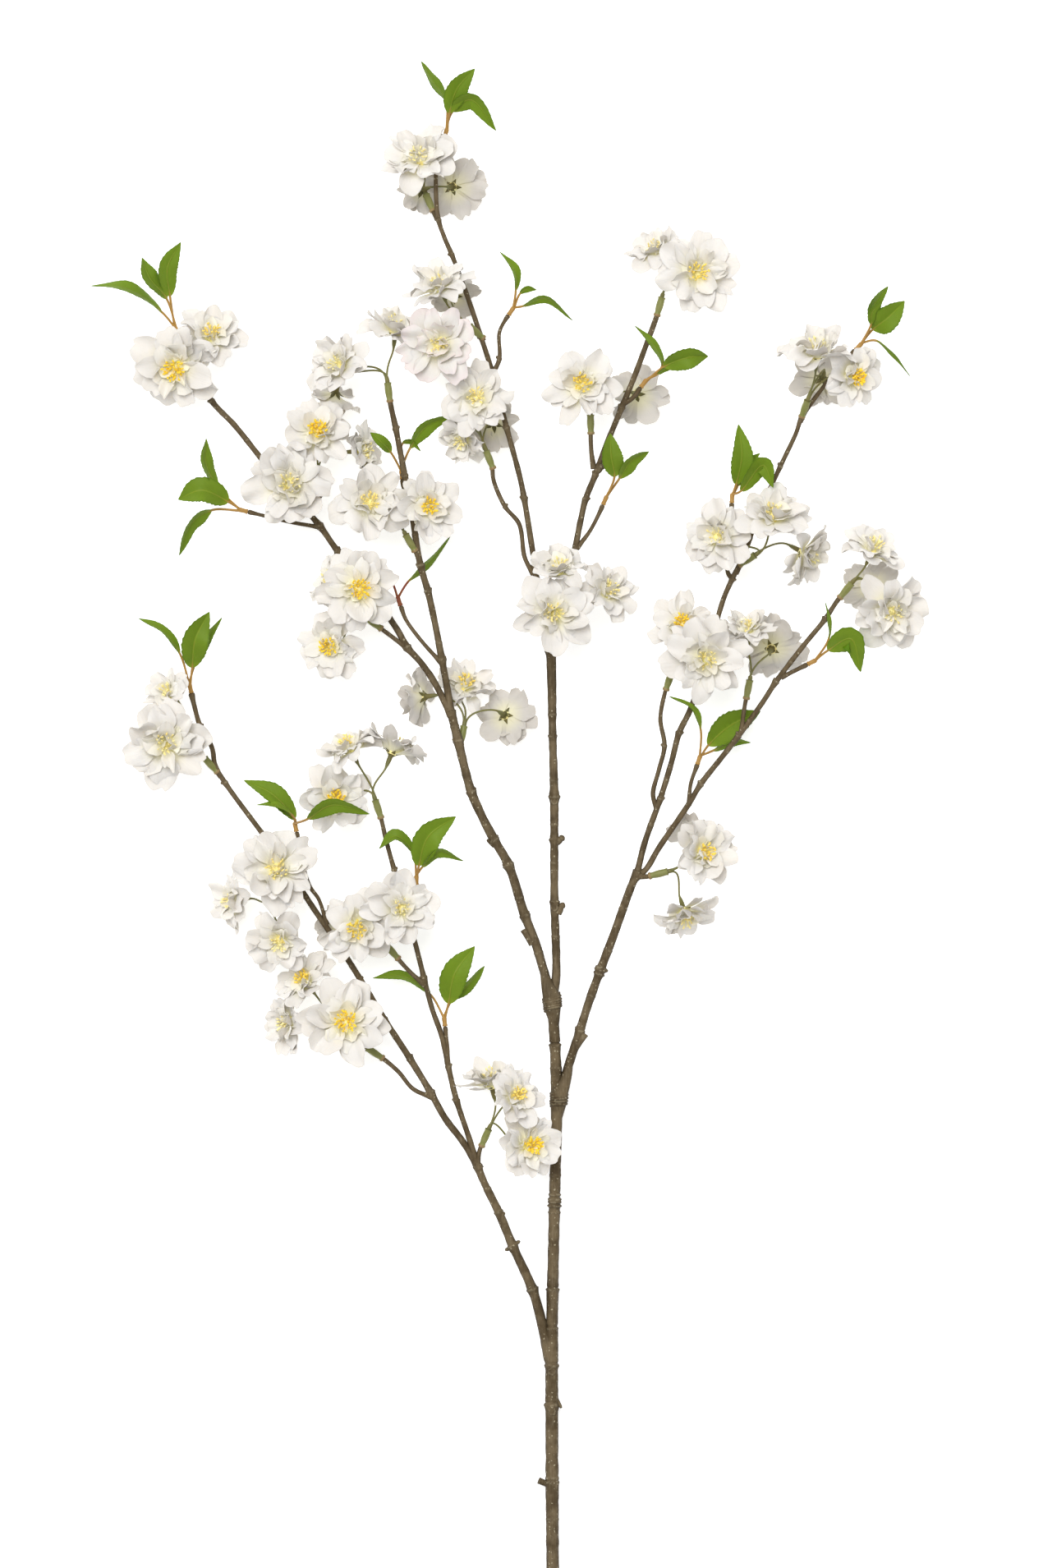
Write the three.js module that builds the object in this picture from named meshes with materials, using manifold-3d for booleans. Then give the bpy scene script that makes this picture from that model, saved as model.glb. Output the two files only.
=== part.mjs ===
import * as THREE from "three";
import Module from "manifold-3d";

// A cut spray of double white cherry blossom, lying on a surface. Millimetres, +Z up.
// X runs to the right, Y towards the tips and Z up from the surface that it lies on.
// A place is [x, y, height]: x and y in pixels of the picture, height in millimetres.

const wasm = await Module();
wasm.setup();

const mmPerPixel = 0.6; // blooms of 57 to 62 mm, 1.13 m from the cut end to the top leaf
const middlePixel = [623.6, 1018.6]; // the origin, below the middle of the whole spray
const twigSides = 4;
const seat = 0.3; // clear gap between a plugged-in piece and its socket
const socketLength = 14;
const socketRadius = 2.1;
const socketMouthRadius = 2.5;
const plugLength = 3;
const plugRadius = 1.9;
const plugSides = 5;
const stalkRadius = 0.65;
const stalkSpread = 0.85; // from the middle of the plug
const stalkLift = [0.25, 0.45]; // how straight it leaves calyx and plug, as shares of its span
const calyxLength = 11;
const calyxRadius = 2.2;
const petalThickness = 0.7;
const smallestEdge = 0.03; // shorter ones, where pieces cross, are joined
const leafThickness = 0.7;
const leafWidthShare = 0.42; // of the blade's length
const footRadius = 1.7; // of the foot that a leaf sprig stands on
const footLength = 7;
const petioleSpread = 0.7; // from the middle of the foot
const petioleSunk = 1;

// Colour, roughness and metalness of each kind of piece.
const bark = new THREE.MeshStandardMaterial({ color: 0x6f5f49, roughness: 0.8, metalness: 0 });
const petal = new THREE.MeshStandardMaterial({ color: 0xf3f2ec, roughness: 0.85, metalness: 0 });
const leafGreen = new THREE.MeshStandardMaterial({ color: 0x5c9431, roughness: 0.6, metalness: 0 });

// Stem pieces. Each arm is a route of places with its radius at both ends. A fourth number at
// a place is a knot: how much thicker the stem is there. An arm with a socket ends in one.
const stems = {
  main_stem: {
    arms: [
      {
        radius: [5.1, 3.0],
        sides: 6,
        route: [
          [674, 1962, 4.6], [673, 1910, 5.6], [672, 1806, 8, 1.08], [672, 1712, 11, 1.08],
          [672, 1664, 13, 1.06], [673, 1570, 17, 1.05], [675, 1464, 21, 1.1],
          [678, 1341, 28, 1.12], [676, 1272, 31, 1.05], [673, 1215, 34, 1.2], [677, 1190, 35],
          [675, 1098, 38, 1.12], [675, 1022, 40, 1.12], [675, 970, 41, 1.2],
          [673, 896, 43, 1.1], [672, 840, 44], [671, 792, 45, 1.15], [672, 737, 46, 1.15],
        ],
      },
      {
        radius: [2.3, 1.5],
        sides: 5,
        route: [
          [672, 745, 46], [653, 702, 46], [649, 675, 45], [638, 606, 44, 1.15], [633, 581, 44],
          [617, 521, 43, 1.1], [600, 455, 42, 1.2], [587, 411, 41, 1.1], [575, 355, 39],
          [555, 310, 38, 1.1], [541, 289, 37.5], [534, 268, 37, 1.1], [531, 240, 36],
          [532, 200, 34], [541, 168, 32],
        ],
      },
      {
        radius: [1.7, 1.6],
        route: [
          [650, 700, 45], [639, 679, 44], [632, 638, 43], [615, 617, 42, 1.1], [601, 585, 42],
          [599, 567, 42], [592, 549, 43],
        ],
        socket: true,
      },
      {
        radius: [1.6, 1.3],
        route: [[600, 455, 42], [608, 437, 42, 1.1], [608, 405, 41], [615, 390, 40], [619, 384, 40]],
      },
      { radius: [1.6, 1.6], route: [[533, 267, 37], [527, 256, 33], [519, 237, 28]], socket: true },
      { radius: [1.6, 1.6], route: [[589, 415, 41], [584, 408, 42], [572, 397, 45]], socket: true },
      {
        radius: [2.4, 2.0],
        sides: 5,
        route: [
          [672, 745, 46], [697, 680, 47], [707, 634, 47], [713, 608, 47, 1.1],
          [725, 578, 47, 1.1], [741, 535, 47], [757, 496, 47, 1.15], [773, 457, 46],
          [785, 425, 46], [800, 384, 46], [806, 362, 47],
        ],
        socket: true,
      },
      { radius: [1.7, 1.7], route: [[723, 571, 47], [720, 549, 46], [719, 505, 47]], socket: true },
      { radius: [1.6, 1.4], route: [[702, 668, 47], [718, 647, 45], [730, 624, 44], [734, 615, 44]] },
      { radius: [1.5, 1.4], route: [[759, 492, 47], [771, 484, 47], [780, 472, 47]] },
      { radius: [1.7, 1.7], route: [[672, 772, 46], [687, 758, 49], [700, 738, 52]], socket: true },
    ],
    stubs: [
      [[669, 1809, 8], [657, 1804, 9]],
      [[675, 1712, 11], [683, 1708, 13]],
      [[678, 1106, 38], [686, 1101, 40]],
      [[678, 1025, 40], [686, 1019, 42]],
      [[727, 573, 47], [734, 567, 50]],
    ],
  },
  lower_left_branch: {
    arms: [
      {
        radius: [3.7, 3.6],
        sides: 5,
        route: [
          [669, 1655, 13], [658, 1604, 15], [648, 1570, 17, 1.12], [624, 1517, 20, 1.15],
          [607, 1476, 22, 1.1], [589, 1439, 23], [581, 1419, 24, 1.15],
        ],
      },
      {
        radius: [2.6, 1.7],
        sides: 5,
        route: [
          [584, 1424, 24], [564, 1391, 25], [542, 1362, 26], [524, 1330, 27, 1.15],
          [499, 1289, 28, 1.1], [468, 1241, 29, 1.1], [441, 1196, 30], [415, 1155, 30, 1.1],
          [379, 1102, 30], [350, 1058, 30], [323, 1020, 30, 1.15], [274, 953, 30, 1.1],
          [262, 932, 30], [258, 910, 30], [244, 885, 30, 1.1], [236, 857, 30], [233, 844, 31],
        ],
      },
      {
        radius: [1.7, 1.6],
        route: [[528, 1337, 27], [503, 1326, 27], [485, 1305, 27], [465, 1288, 28], [447, 1276, 30]],
        socket: true,
      },
      {
        radius: [1.5, 1.4],
        route: [[398, 1126, 30], [388, 1095, 31], [377, 1079, 31], [367, 1045, 32], [361, 1013, 33]],
      },
      { radius: [1.6, 1.6], route: [[269, 946, 30], [262, 937, 30], [249, 923, 32]], socket: true },
      { radius: [1.6, 1.6], route: [[364, 1079, 30], [353, 1086, 31], [338, 1094, 33]], socket: true },
      {
        radius: [2.5, 1.8],
        sides: 5,
        route: [
          [583, 1424, 24], [571, 1385, 26], [556, 1340, 28, 1.1], [546, 1299, 30, 1.1],
          [538, 1262, 32], [526, 1228, 33], [516, 1190, 35, 1.2], [503, 1139, 36],
          [490, 1095, 37], [480, 1059, 38, 1.1], [470, 1022, 39], [464, 996, 39], [457, 974, 41],
        ],
        socket: true,
      },
      { radius: [1.7, 1.7], route: [[518, 1200, 35], [498, 1182, 36], [470, 1150, 40]], socket: true },
      { radius: [1.5, 1.4], route: [[546, 1301, 30], [545, 1277, 31], [542, 1250, 32]] },
      { radius: [1.5, 1.4], route: [[502, 1138, 36], [507, 1105, 38], [507, 1078, 39]] },
      { radius: [1.7, 1.7], route: [[581, 1421, 24], [584, 1401, 26], [595, 1375, 31]], socket: true },
    ],
    stubs: [[[628, 1524, 20], [618, 1520, 21]]],
  },
  upper_left_branch: {
    arms: [
      {
        radius: [3.4, 3.2],
        sides: 5,
        route: [
          [674, 1222, 34], [661, 1178, 35], [651, 1145, 36], [639, 1115, 36, 1.1],
          [619, 1053, 37, 1.12], [602, 1023, 38, 1.1], [586, 992, 38], [574, 964, 38, 1.1],
          [558, 902, 38, 1.1], [549, 865, 38, 1.1],
        ],
      },
      {
        radius: [2.6, 2.0],
        sides: 5,
        route: [
          [550, 872, 38], [545, 841, 38], [538, 803, 39, 1.15], [530, 761, 40],
          [521, 720, 40, 1.1], [512, 688, 41, 1.15], [500, 615, 42], [493, 579, 42, 1.1],
          [482, 522, 43, 1.1], [475, 489, 44], [472, 466, 45],
        ],
        socket: true,
      },
      { radius: [1.6, 1.6], route: [[513, 695, 41], [506, 672, 43], [494, 651, 46]], socket: true },
      { radius: [1.6, 1.4], route: [[538, 808, 39], [512, 779, 39], [494, 754, 39], [488, 738, 39]] },
      { radius: [1.4, 1.4], route: [[497, 603, 42], [491, 592, 38], [490, 584, 37]] },
      {
        radius: [2.5, 2.0],
        sides: 5,
        route: [
          [550, 872, 38], [528, 829, 37], [512, 806, 36], [496, 788, 35, 1.2], [484, 767, 34],
          [448, 715, 33], [411, 671, 33, 1.1], [389, 640, 33, 1.25], [355, 601, 33],
          [322, 563, 33, 1.15], [286, 518, 33], [258, 488, 33, 1.1], [243, 456, 36],
        ],
        socket: true,
      },
      { radius: [1.7, 1.6], route: [[498, 791, 35], [473, 772, 36], [446, 752, 40]], socket: true },
      { radius: [1.7, 1.7], route: [[560, 920, 37], [561, 905, 33], [565, 884, 31]], socket: true },
      { radius: [1.6, 1.3], route: [[391, 642, 33], [351, 635, 32], [322, 628, 31], [302, 623, 31]] },
      { radius: [1.6, 1.6], route: [[372, 620, 33], [392, 600, 36], [388, 574, 40]], socket: true },
      { radius: [1.5, 1.4], route: [[260, 492, 33], [238, 452, 29], [218, 409, 29]] },
    ],
    stubs: [[[643, 1137, 36], [635, 1132, 38]]],
  },
  right_branch: {
    arms: [
      {
        radius: [3.3, 3.0],
        sides: 5,
        route: [
          [680, 1337, 28], [688, 1311, 29], [706, 1255, 31, 1.1], [716, 1223, 32],
          [731, 1181, 34, 1.15], [747, 1139, 36], [768, 1081, 38], [777, 1060, 39, 1.12],
        ],
      },
      {
        radius: [2.3, 1.5],
        sides: 5,
        route: [
          [775, 1067, 39], [785, 1026, 40], [804, 972, 43, 1.1], [817, 930, 45],
          [827, 892, 46, 1.15], [840, 865, 47], [858, 810, 48], [881, 729, 50],
          [891, 706, 50, 1.1], [905, 677, 51, 1.15], [924, 625, 52], [950, 568, 53, 1.1],
          [969, 528, 54], [976, 509, 54, 1.2], [1018, 452, 54], [1041, 427, 54],
        ],
      },
      { radius: [1.6, 1.6], route: [[974, 514, 54], [977, 505, 55], [983, 488, 60]], socket: true },
      {
        radius: [1.7, 1.6],
        route: [
          [800, 986, 43], [795, 967, 43], [802, 938, 44], [809, 908, 44, 1.1], [804, 875, 45],
          [810, 842, 46], [818, 818, 48],
        ],
        socket: true,
      },
      { radius: [1.5, 1.4], route: [[893, 706, 50], [886, 697, 48], [889, 650, 47], [891, 613, 48]] },
      { radius: [1.6, 1.6], route: [[896, 698, 51], [903, 686, 54], [919, 676, 58]], socket: true },
      {
        radius: [2.2, 1.8],
        sides: 5,
        route: [
          [774, 1069, 39], [787, 1058, 39], [802, 1033, 38], [838, 980, 37], [853, 955, 37, 1.1],
          [878, 923, 36], [899, 896, 36, 1.1], [928, 856, 35], [945, 830, 35, 1.15],
          [981, 783, 35], [1004, 755, 35, 1.1], [1020, 731, 35], [1037, 710, 37],
        ],
        socket: true,
      },
      { radius: [1.6, 1.6], route: [[903, 891, 36], [906, 865, 38], [913, 828, 41]], socket: true },
      { radius: [1.5, 1.4], route: [[951, 825, 35], [983, 809, 36]] },
      { radius: [1.5, 1.4], route: [[839, 981, 37], [841, 955, 38], [849, 931, 40]] },
      { radius: [1.7, 1.7], route: [[774, 1067, 39], [789, 1067, 41], [813, 1061, 43]], socket: true },
    ],
    stubs: [[[707, 1262, 31], [715, 1260, 33]]],
  },
};

// Blossom sprays, from the top down. Each grows from a socket's mouth. A bloom is given by its
// calyx where that shows, or else by the centre of its disc, with the height of its calyx,
// the way that it faces (x right, y towards the tips, z up) and its radius.
const sprays = [
  { socket: [[527, 256, 33], [519, 237, 28]], blooms: [
    { centre: [508, 187], height: 40, faces: [-0.25, 0.45, 0.85], radius: 28.5 },
    { calyx: [547, 227], height: 17, faces: [0.35, 0, -0.94], radius: 25 },
    { centre: [505, 234], height: 25, faces: [-0.6, -0.2, -0.75], radius: 17 } ] },
  { socket: [[584, 408, 42], [572, 397, 45]], blooms: [
    { calyx: [541, 362], height: 54, faces: [-0.2, 0.75, 0.6], radius: 26.5 },
    { centre: [533, 421], height: 62, faces: [-0.1, -0.1, 0.98], radius: 28.5 },
    { centre: [553, 355], height: 25, faces: [0.1, 0.3, -0.9], radius: 19 } ] },
  { socket: [[475, 489, 44], [472, 466, 45]], blooms: [
    { calyx: [480, 416], height: 40, faces: [0.1, 0.75, 0.65], radius: 26.5 },
    { centre: [405, 441], height: 50, faces: [-0.55, 0.3, 0.78], radius: 25 },
    { calyx: [411, 470], height: 22, faces: [-0.2, -0.8, -0.4], radius: 20 } ] },
  { socket: [[392, 600, 36], [388, 574, 40]], blooms: [
    { centre: [387, 522], height: 47, faces: [0, 0.35, 0.93], radius: 26.5 },
    { calyx: [426, 550], height: 36, faces: [0.6, 0.3, 0.72], radius: 22 },
    { centre: [355, 593], height: 56, faces: [0.05, 0.1, 0.99], radius: 32.5 } ] },
  { socket: [[506, 672, 43], [494, 651, 46]], blooms: [
    { centre: [451, 609], height: 54, faces: [0, 0.25, 0.95], radius: 28 },
    { centre: [523, 616], height: 64, faces: [0.15, 0.1, 0.97], radius: 25.5 } ] },
  { socket: [[599, 567, 42], [592, 549, 43]], blooms: [
    { centre: [580, 482], height: 50, faces: [0, 0.3, 0.95], radius: 27 },
    { centre: [559, 540], height: 39, faces: [-0.4, -0.5, 0.7], radius: 20 },
    { centre: [603, 521], height: 24, faces: [0.1, -0.3, -0.9], radius: 20 } ] },
  { socket: [[720, 549, 46], [719, 505, 47]], blooms: [
    { centre: [709, 466], height: 58, faces: [-0.05, 0.25, 0.96], radius: 28 },
    { centre: [779, 483], height: 26, faces: [0.25, -0.15, -0.95], radius: 23.5 } ] },
  { socket: [[800, 384, 46], [806, 362, 47]], blooms: [
    { centre: [851, 332], height: 58, faces: [0.1, 0.1, 0.98], radius: 30 },
    { centre: [795, 297], height: 44, faces: [-0.3, 0.6, 0.5], radius: 22.5 } ] },
  { socket: [[977, 505, 55], [983, 488, 60]], blooms: [
    { calyx: [993, 446], height: 72, faces: [0.05, 0.85, 0.5], radius: 29 },
    { centre: [1046, 460], height: 64, faces: [0.6, -0.1, 0.75], radius: 25 },
    { centre: [1000, 470], height: 38, faces: [-0.1, -0.5, -0.8], radius: 22 } ] },
  { socket: [[903, 686, 54], [919, 676, 58]], blooms: [
    { centre: [870, 651], height: 62, faces: [-0.25, 0.25, 0.93], radius: 26.5 },
    { calyx: [938, 640], height: 68, faces: [0.15, 0.6, 0.75], radius: 27 },
    { calyx: [967, 667], height: 52, faces: [0.8, -0.25, 0.3], radius: 25 } ] },
  { socket: [[1020, 731, 35], [1037, 710, 37]], blooms: [
    { calyx: [1057, 682], height: 44, faces: [0.35, 0.75, 0.5], radius: 24 },
    { calyx: [1063, 713], height: 18, faces: [-0.1, -0.1, -0.98], radius: 22 },
    { centre: [1090, 748], height: 42, faces: [0.35, -0.2, 0.9], radius: 29 } ] },
  { socket: [[810, 842, 46], [818, 818, 48]], blooms: [
    { centre: [860, 804], height: 64, faces: [0, -0.1, 0.99], radius: 31 },
    { centre: [830, 757], height: 50, faces: [-0.1, 0.35, 0.9], radius: 24 },
    { centre: [882, 787], height: 30, faces: [0.3, -0.2, -0.8], radius: 19 } ] },
  { socket: [[906, 865, 38], [913, 828, 41]], blooms: [
    { centre: [911, 757], height: 38, faces: [0, 0.8, 0.4], radius: 21.5 },
    { calyx: [938, 793], height: 19, faces: [0.15, 0.3, -0.93], radius: 26 } ] },
  { socket: [[789, 1067, 41], [813, 1061, 43]], blooms: [
    { centre: [863, 1036], height: 46, faces: [0.5, 0.15, 0.8], radius: 27 },
    { calyx: [830, 1099], height: 40, faces: [0.25, -0.75, 0.4], radius: 24 },
    { calyx: [842, 1030], height: 22, faces: [0.15, 0.6, -0.5], radius: 20 } ] },
  { socket: [[561, 905, 33], [565, 884, 31]], blooms: [
    { centre: [568, 827], height: 12, faces: [0.15, 0.5, 0.85], radius: 23 },
    { calyx: [610, 868], height: 16, faces: [0.3, 0.1, -0.93], radius: 23 },
    { calyx: [526, 847], height: 22, faces: [-0.5, 0.2, -0.8], radius: 22 } ] },
  { socket: [[687, 758, 49], [700, 738, 52]], blooms: [
    { centre: [675, 745], height: 70, faces: [0, 0.1, 0.99], radius: 29.5 },
    { centre: [681, 683], height: 60, faces: [0, 0.5, 0.85], radius: 23 },
    { calyx: [730, 730], height: 54, faces: [0.4, 0.55, 0.6], radius: 24 } ] },
  { socket: [[258, 488, 33], [243, 456, 36]], blooms: [
    { centre: [211, 452], height: 50, faces: [-0.15, -0.3, 0.93], radius: 32 },
    { centre: [258, 402], height: 40, faces: [0.1, 0.5, 0.85], radius: 25.5 } ] },
  { socket: [[473, 772, 36], [446, 752, 40]], blooms: [
    { centre: [439, 717], height: 54, faces: [0.1, 0, 0.99], radius: 31 },
    { centre: [396, 700], height: 38, faces: [-0.5, 0.1, 0.6], radius: 22 },
    { centre: [400, 787], height: 40, faces: [-0.3, -0.2, 0.9], radius: 26.5 } ] },
  { socket: [[262, 937, 30], [249, 923, 32]], blooms: [
    { centre: [202, 905], height: 44, faces: [0, 0, 1], radius: 32 },
    { centre: [200, 838], height: 32, faces: [-0.5, 0.5, 0.6], radius: 20 } ] },
  { socket: [[353, 1086, 31], [338, 1094, 33]], blooms: [
    { centre: [337, 1057], height: 52, faces: [0, 0.1, 0.99], radius: 32 },
    { calyx: [297, 1095], height: 16, faces: [-0.85, -0.1, 0.45], radius: 22 },
    { centre: [338, 1150], height: 44, faces: [-0.2, -0.3, 0.9], radius: 25 } ] },
  { socket: [[464, 996, 39], [457, 974, 41]], blooms: [
    { centre: [409, 972], height: 40, faces: [0.1, 0.1, 0.98], radius: 26.5 },
    { centre: [420, 900], height: 48, faces: [-0.4, 0.75, 0.3], radius: 24 },
    { calyx: [473, 927], height: 44, faces: [0.4, 0.75, -0.3], radius: 22 } ] },
  { socket: [[498, 1182, 36], [470, 1150, 40]], blooms: [
    { centre: [490, 1104], height: 56, faces: [0.1, 0.1, 0.98], radius: 27 },
    { centre: [434, 1131], height: 46, faces: [-0.1, -0.1, 0.98], radius: 28 },
    { centre: [412, 1133], height: 20, faces: [-0.3, 0, -0.95], radius: 19 } ] },
  { socket: [[465, 1288, 28], [447, 1276, 30]], blooms: [
    { centre: [421, 1243], height: 50, faces: [0, 0.1, 0.99], radius: 32.5 },
    { calyx: [380, 1206], height: 30, faces: [-0.3, 0.45, 0.75], radius: 24 },
    { centre: [342, 1247], height: 28, faces: [-0.7, -0.1, 0.5], radius: 23 } ] },
  { socket: [[584, 1401, 26], [595, 1375, 31]], blooms: [
    { calyx: [601, 1333], height: 32, faces: [-0.2, 0.85, 0.3], radius: 25 },
    { calyx: [620, 1341], height: 50, faces: [0.4, 0.3, 0.8], radius: 23 },
    { centre: [651, 1394], height: 46, faces: [0.35, -0.2, 0.9], radius: 26 } ] },
];

// Leaf sprigs. Each stands on the end of a twig, given by the twig's last two places. A leaf
// runs from its base over a bend to its tip, turned about its rib by roll degrees.
const sprigs = [
  { twig: [[532, 200, 34], [541, 168, 32]], leaves: [
    { base: [543, 123, 40], bend: [526, 98, 46], tip: [513, 75, 44], roll: 55 },
    { base: [547, 138, 40], bend: [557, 108, 48], tip: [578, 84, 50], roll: 15 },
    { base: [551, 136, 38], bend: [574, 122, 48], tip: [604, 159, 42], roll: 35 } ] },
  { twig: [[238, 452, 29], [218, 409, 29]], leaves: [
    { base: [197, 380, 34], bend: [155, 352, 46], tip: [111, 348, 36], roll: 62 },
    { base: [203, 364, 36], bend: [182, 338, 46], tip: [173, 314, 44], roll: 40 },
    { base: [210, 353, 38], bend: [206, 322, 46], tip: [220, 295, 42], roll: 25 } ] },
  { twig: [[322, 628, 31], [302, 623, 31]], leaves: [
    { base: [265, 593, 38], bend: [251, 565, 42], tip: [251, 534, 38], roll: 50 },
    { base: [278, 611, 36], bend: [246, 597, 46], tip: [217, 608, 38], roll: 15 },
    { base: [258, 621, 34], bend: [233, 637, 36], tip: [218, 676, 26], roll: -50 } ] },
  { twig: [[236, 857, 30], [233, 844, 31]], leaves: [
    { base: [219, 796, 38], bend: [198, 768, 44], tip: [169, 753, 40], roll: 50 },
    { base: [234, 813, 38], bend: [238, 778, 48], tip: [255, 745, 46], roll: 10 },
    { base: [237, 812, 34], bend: [255, 782, 34], tip: [270, 752, 30], roll: 45 } ] },
  { twig: [[367, 1045, 32], [361, 1013, 33]], leaves: [
    { base: [359, 997, 40], bend: [332, 967, 48], tip: [297, 950, 42], roll: 30 },
    { base: [355, 992, 46], bend: [336, 981, 54], tip: [313, 980, 50], roll: 60 },
    { base: [375, 997, 60], bend: [406, 980, 74], tip: [450, 991, 70], roll: 35 } ] },
  { twig: [[507, 1105, 38], [507, 1078, 39]], leaves: [
    { base: [503, 1038, 46], bend: [482, 1018, 52], tip: [462, 1033, 46], roll: 40 },
    { base: [510, 1054, 48], bend: [522, 1018, 58], tip: [555, 994, 56], roll: 10 },
    { base: [514, 1056, 46], bend: [534, 1037, 54], tip: [564, 1048, 48], roll: 50 } ] },
  { twig: [[545, 1277, 31], [542, 1250, 32]], leaves: [
    { base: [524, 1211, 27], bend: [490, 1189, 25], tip: [454, 1191, 24], roll: 50 },
    { base: [546, 1222, 38], bend: [554, 1185, 48], tip: [578, 1152, 46], roll: 5 },
    { base: [550, 1218, 36], bend: [572, 1197, 38], tip: [590, 1176, 34], roll: 45 } ] },
  { twig: [[491, 592, 38], [490, 584, 37]], leaves: [
    { base: [476, 551, 46], bend: [464, 538, 56], tip: [451, 527, 56], roll: 20 },
    { base: [490, 540, 34], bend: [500, 537, 34], tip: [512, 549, 32], roll: 40 },
    { base: [499, 546, 34], bend: [518, 520, 36], tip: [557, 503, 34], roll: 40 } ] },
  { twig: [[615, 390, 40], [619, 384, 40]], leaves: [
    { base: [628, 354, 44], bend: [627, 330, 48], tip: [609, 307, 44], roll: 50 },
    { base: [633, 358, 44], bend: [642, 352, 46], tip: [653, 353, 44], roll: 30 },
    { base: [636, 373, 44], bend: [664, 363, 50], tip: [697, 390, 42], roll: 50 } ] },
  { twig: [[771, 484, 47], [780, 472, 47]], leaves: [
    { base: [806, 439, 54], bend: [793, 418, 60], tip: [774, 397, 56], roll: 50 },
    { base: [811, 442, 54], bend: [832, 424, 60], tip: [862, 434, 52], roll: 20 },
    { base: [800, 456, 50], bend: [810, 449, 52], tip: [822, 447, 50], roll: 50 } ] },
  { twig: [[730, 624, 44], [734, 615, 44]], leaves: [
    { base: [748, 581, 54], bend: [744, 555, 60], tip: [743, 528, 57], roll: 20 },
    { base: [754, 583, 50], bend: [768, 562, 56], tip: [790, 550, 50], roll: 40 } ] },
  { twig: [[1018, 452, 54], [1041, 427, 54]], leaves: [
    { base: [1061, 394, 60], bend: [1064, 372, 64], tip: [1081, 349, 60], roll: 40 },
    { base: [1060, 396, 66], bend: [1061, 382, 71], tip: [1075, 365, 70], roll: 35 },
    { base: [1065, 400, 60], bend: [1084, 390, 66], tip: [1101, 367, 62], roll: 5 },
    { base: [1068, 417, 57], bend: [1092, 434, 54], tip: [1113, 455, 46], roll: 70 } ] },
  { twig: [[889, 650, 47], [891, 613, 48]], leaves: [
    { base: [896, 590, 54], bend: [903, 556, 60], tip: [899, 517, 58], roll: 20 },
    { base: [898, 592, 50], bend: [907, 567, 51], tip: [925, 552, 49], roll: 30 },
    { base: [902, 598, 58], bend: [929, 567, 70], tip: [941, 594, 69], roll: 30 } ] },
  { twig: [[951, 825, 35], [983, 809, 36]], leaves: [
    { base: [1009, 778, 44], bend: [1009, 756, 47], tip: [1005, 734, 46], roll: 65 },
    { base: [1008, 792, 44], bend: [1036, 778, 54], tip: [1048, 818, 42], roll: 20 } ] },
  { twig: [[841, 955, 38], [849, 931, 40]], leaves: [
    { base: [853, 888, 54], bend: [843, 863, 59], tip: [815, 848, 56], roll: 60 },
    { base: [862, 908, 37], bend: [890, 883, 28], tip: [926, 866, 25], roll: 5 },
    { base: [868, 914, 35], bend: [892, 903, 28], tip: [914, 904, 24], roll: 45 } ] },
  { twig: [[494, 754, 39], [488, 738, 39]], leaves: [
    { base: [497, 708, 31], bend: [524, 682, 26], tip: [548, 653, 25], roll: 60 },
    { base: [478, 710, 38], bend: [466, 694, 40], tip: [458, 674, 38], roll: 40 } ] },
];

const spray = new THREE.Group();

// The point in millimetres of a place in the picture.
function placed([x, y, height]) {
  return new THREE.Vector3(
    (x - middlePixel[0]) * mmPerPixel,
    (middlePixel[1] - y) * mmPerPixel,
    height,
  );
}

// Numbers from 0 to 1 that are the same on every run.
function randomFrom(seed) {
  let state = seed * 7919 + 17;
  return () => {
    state = (state * 16807) % 2147483647;
    return state / 2147483647;
  };
}

// A closed body from its points and its triangles.
function solidOf(points, triangles) {
  const vertProperties = new Float32Array(points.flatMap((p) => [p.x, p.y, p.z]));
  const triVerts = new Uint32Array(triangles.flat());
  return new wasm.Manifold(new wasm.Mesh({ numProp: 3, vertProperties, triVerts }));
}

// A closed skin over rings of points, which may differ in number, with both ends closed.
function skinned(rings) {
  const points = rings.flat();
  const triangles = [];
  let first = 0;
  for (let r = 0; r + 1 < rings.length; r++) {
    const [a, b] = [rings[r].length, rings[r + 1].length];
    const second = first + a;
    let [i, j] = [0, 0];
    while (i < (a > 1 ? a : 0) || j < (b > 1 ? b : 0)) {
      const onFirst = first + (i % a);
      const onSecond = second + (j % b);
      const alongFirst = a > 1 && i < a && (b === 1 || j >= b || (i + 1) / a <= (j + 1) / b);
      if (alongFirst) {
        triangles.push([onFirst, onSecond, first + ((i + 1) % a)]);
        i++;
      } else {
        triangles.push([onFirst, onSecond, second + ((j + 1) % b)]);
        j++;
      }
    }
    first = second;
  }
  const top = rings[0].length;
  const bottom = rings.at(-1).length;
  for (let i = 1; i + 1 < top; i++) triangles.push([0, i, i + 1]);
  for (let i = 1; i + 1 < bottom; i++) triangles.push([first, first + i + 1, first + i]);
  return solidOf(points, triangles);
}

// Rings of points round a route, with a radius at each place, and the first point to one side.
// A ring's girth is that of a circle of the given radius.
function ringsAlong(points, radii, sides, sideways) {
  const fuller = Math.PI / sides / Math.sin(Math.PI / sides);
  const along = points.map((p, i) =>
    new THREE.Vector3()
      .subVectors(points[Math.min(i + 1, points.length - 1)], points[Math.max(i - 1, 0)])
      .normalize(),
  );
  const across = sideways.clone();
  return points.map((p, i) => {
    across.projectOnPlane(along[i]).normalize();
    const third = new THREE.Vector3().crossVectors(along[i], across);
    return Array.from({ length: sides }, (_, k) => {
      const angle = (-2 * Math.PI * k) / sides;
      return p
        .clone()
        .addScaledVector(across, fuller * radii[i] * Math.cos(angle))
        .addScaledVector(third, fuller * radii[i] * Math.sin(angle));
    });
  });
}

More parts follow.
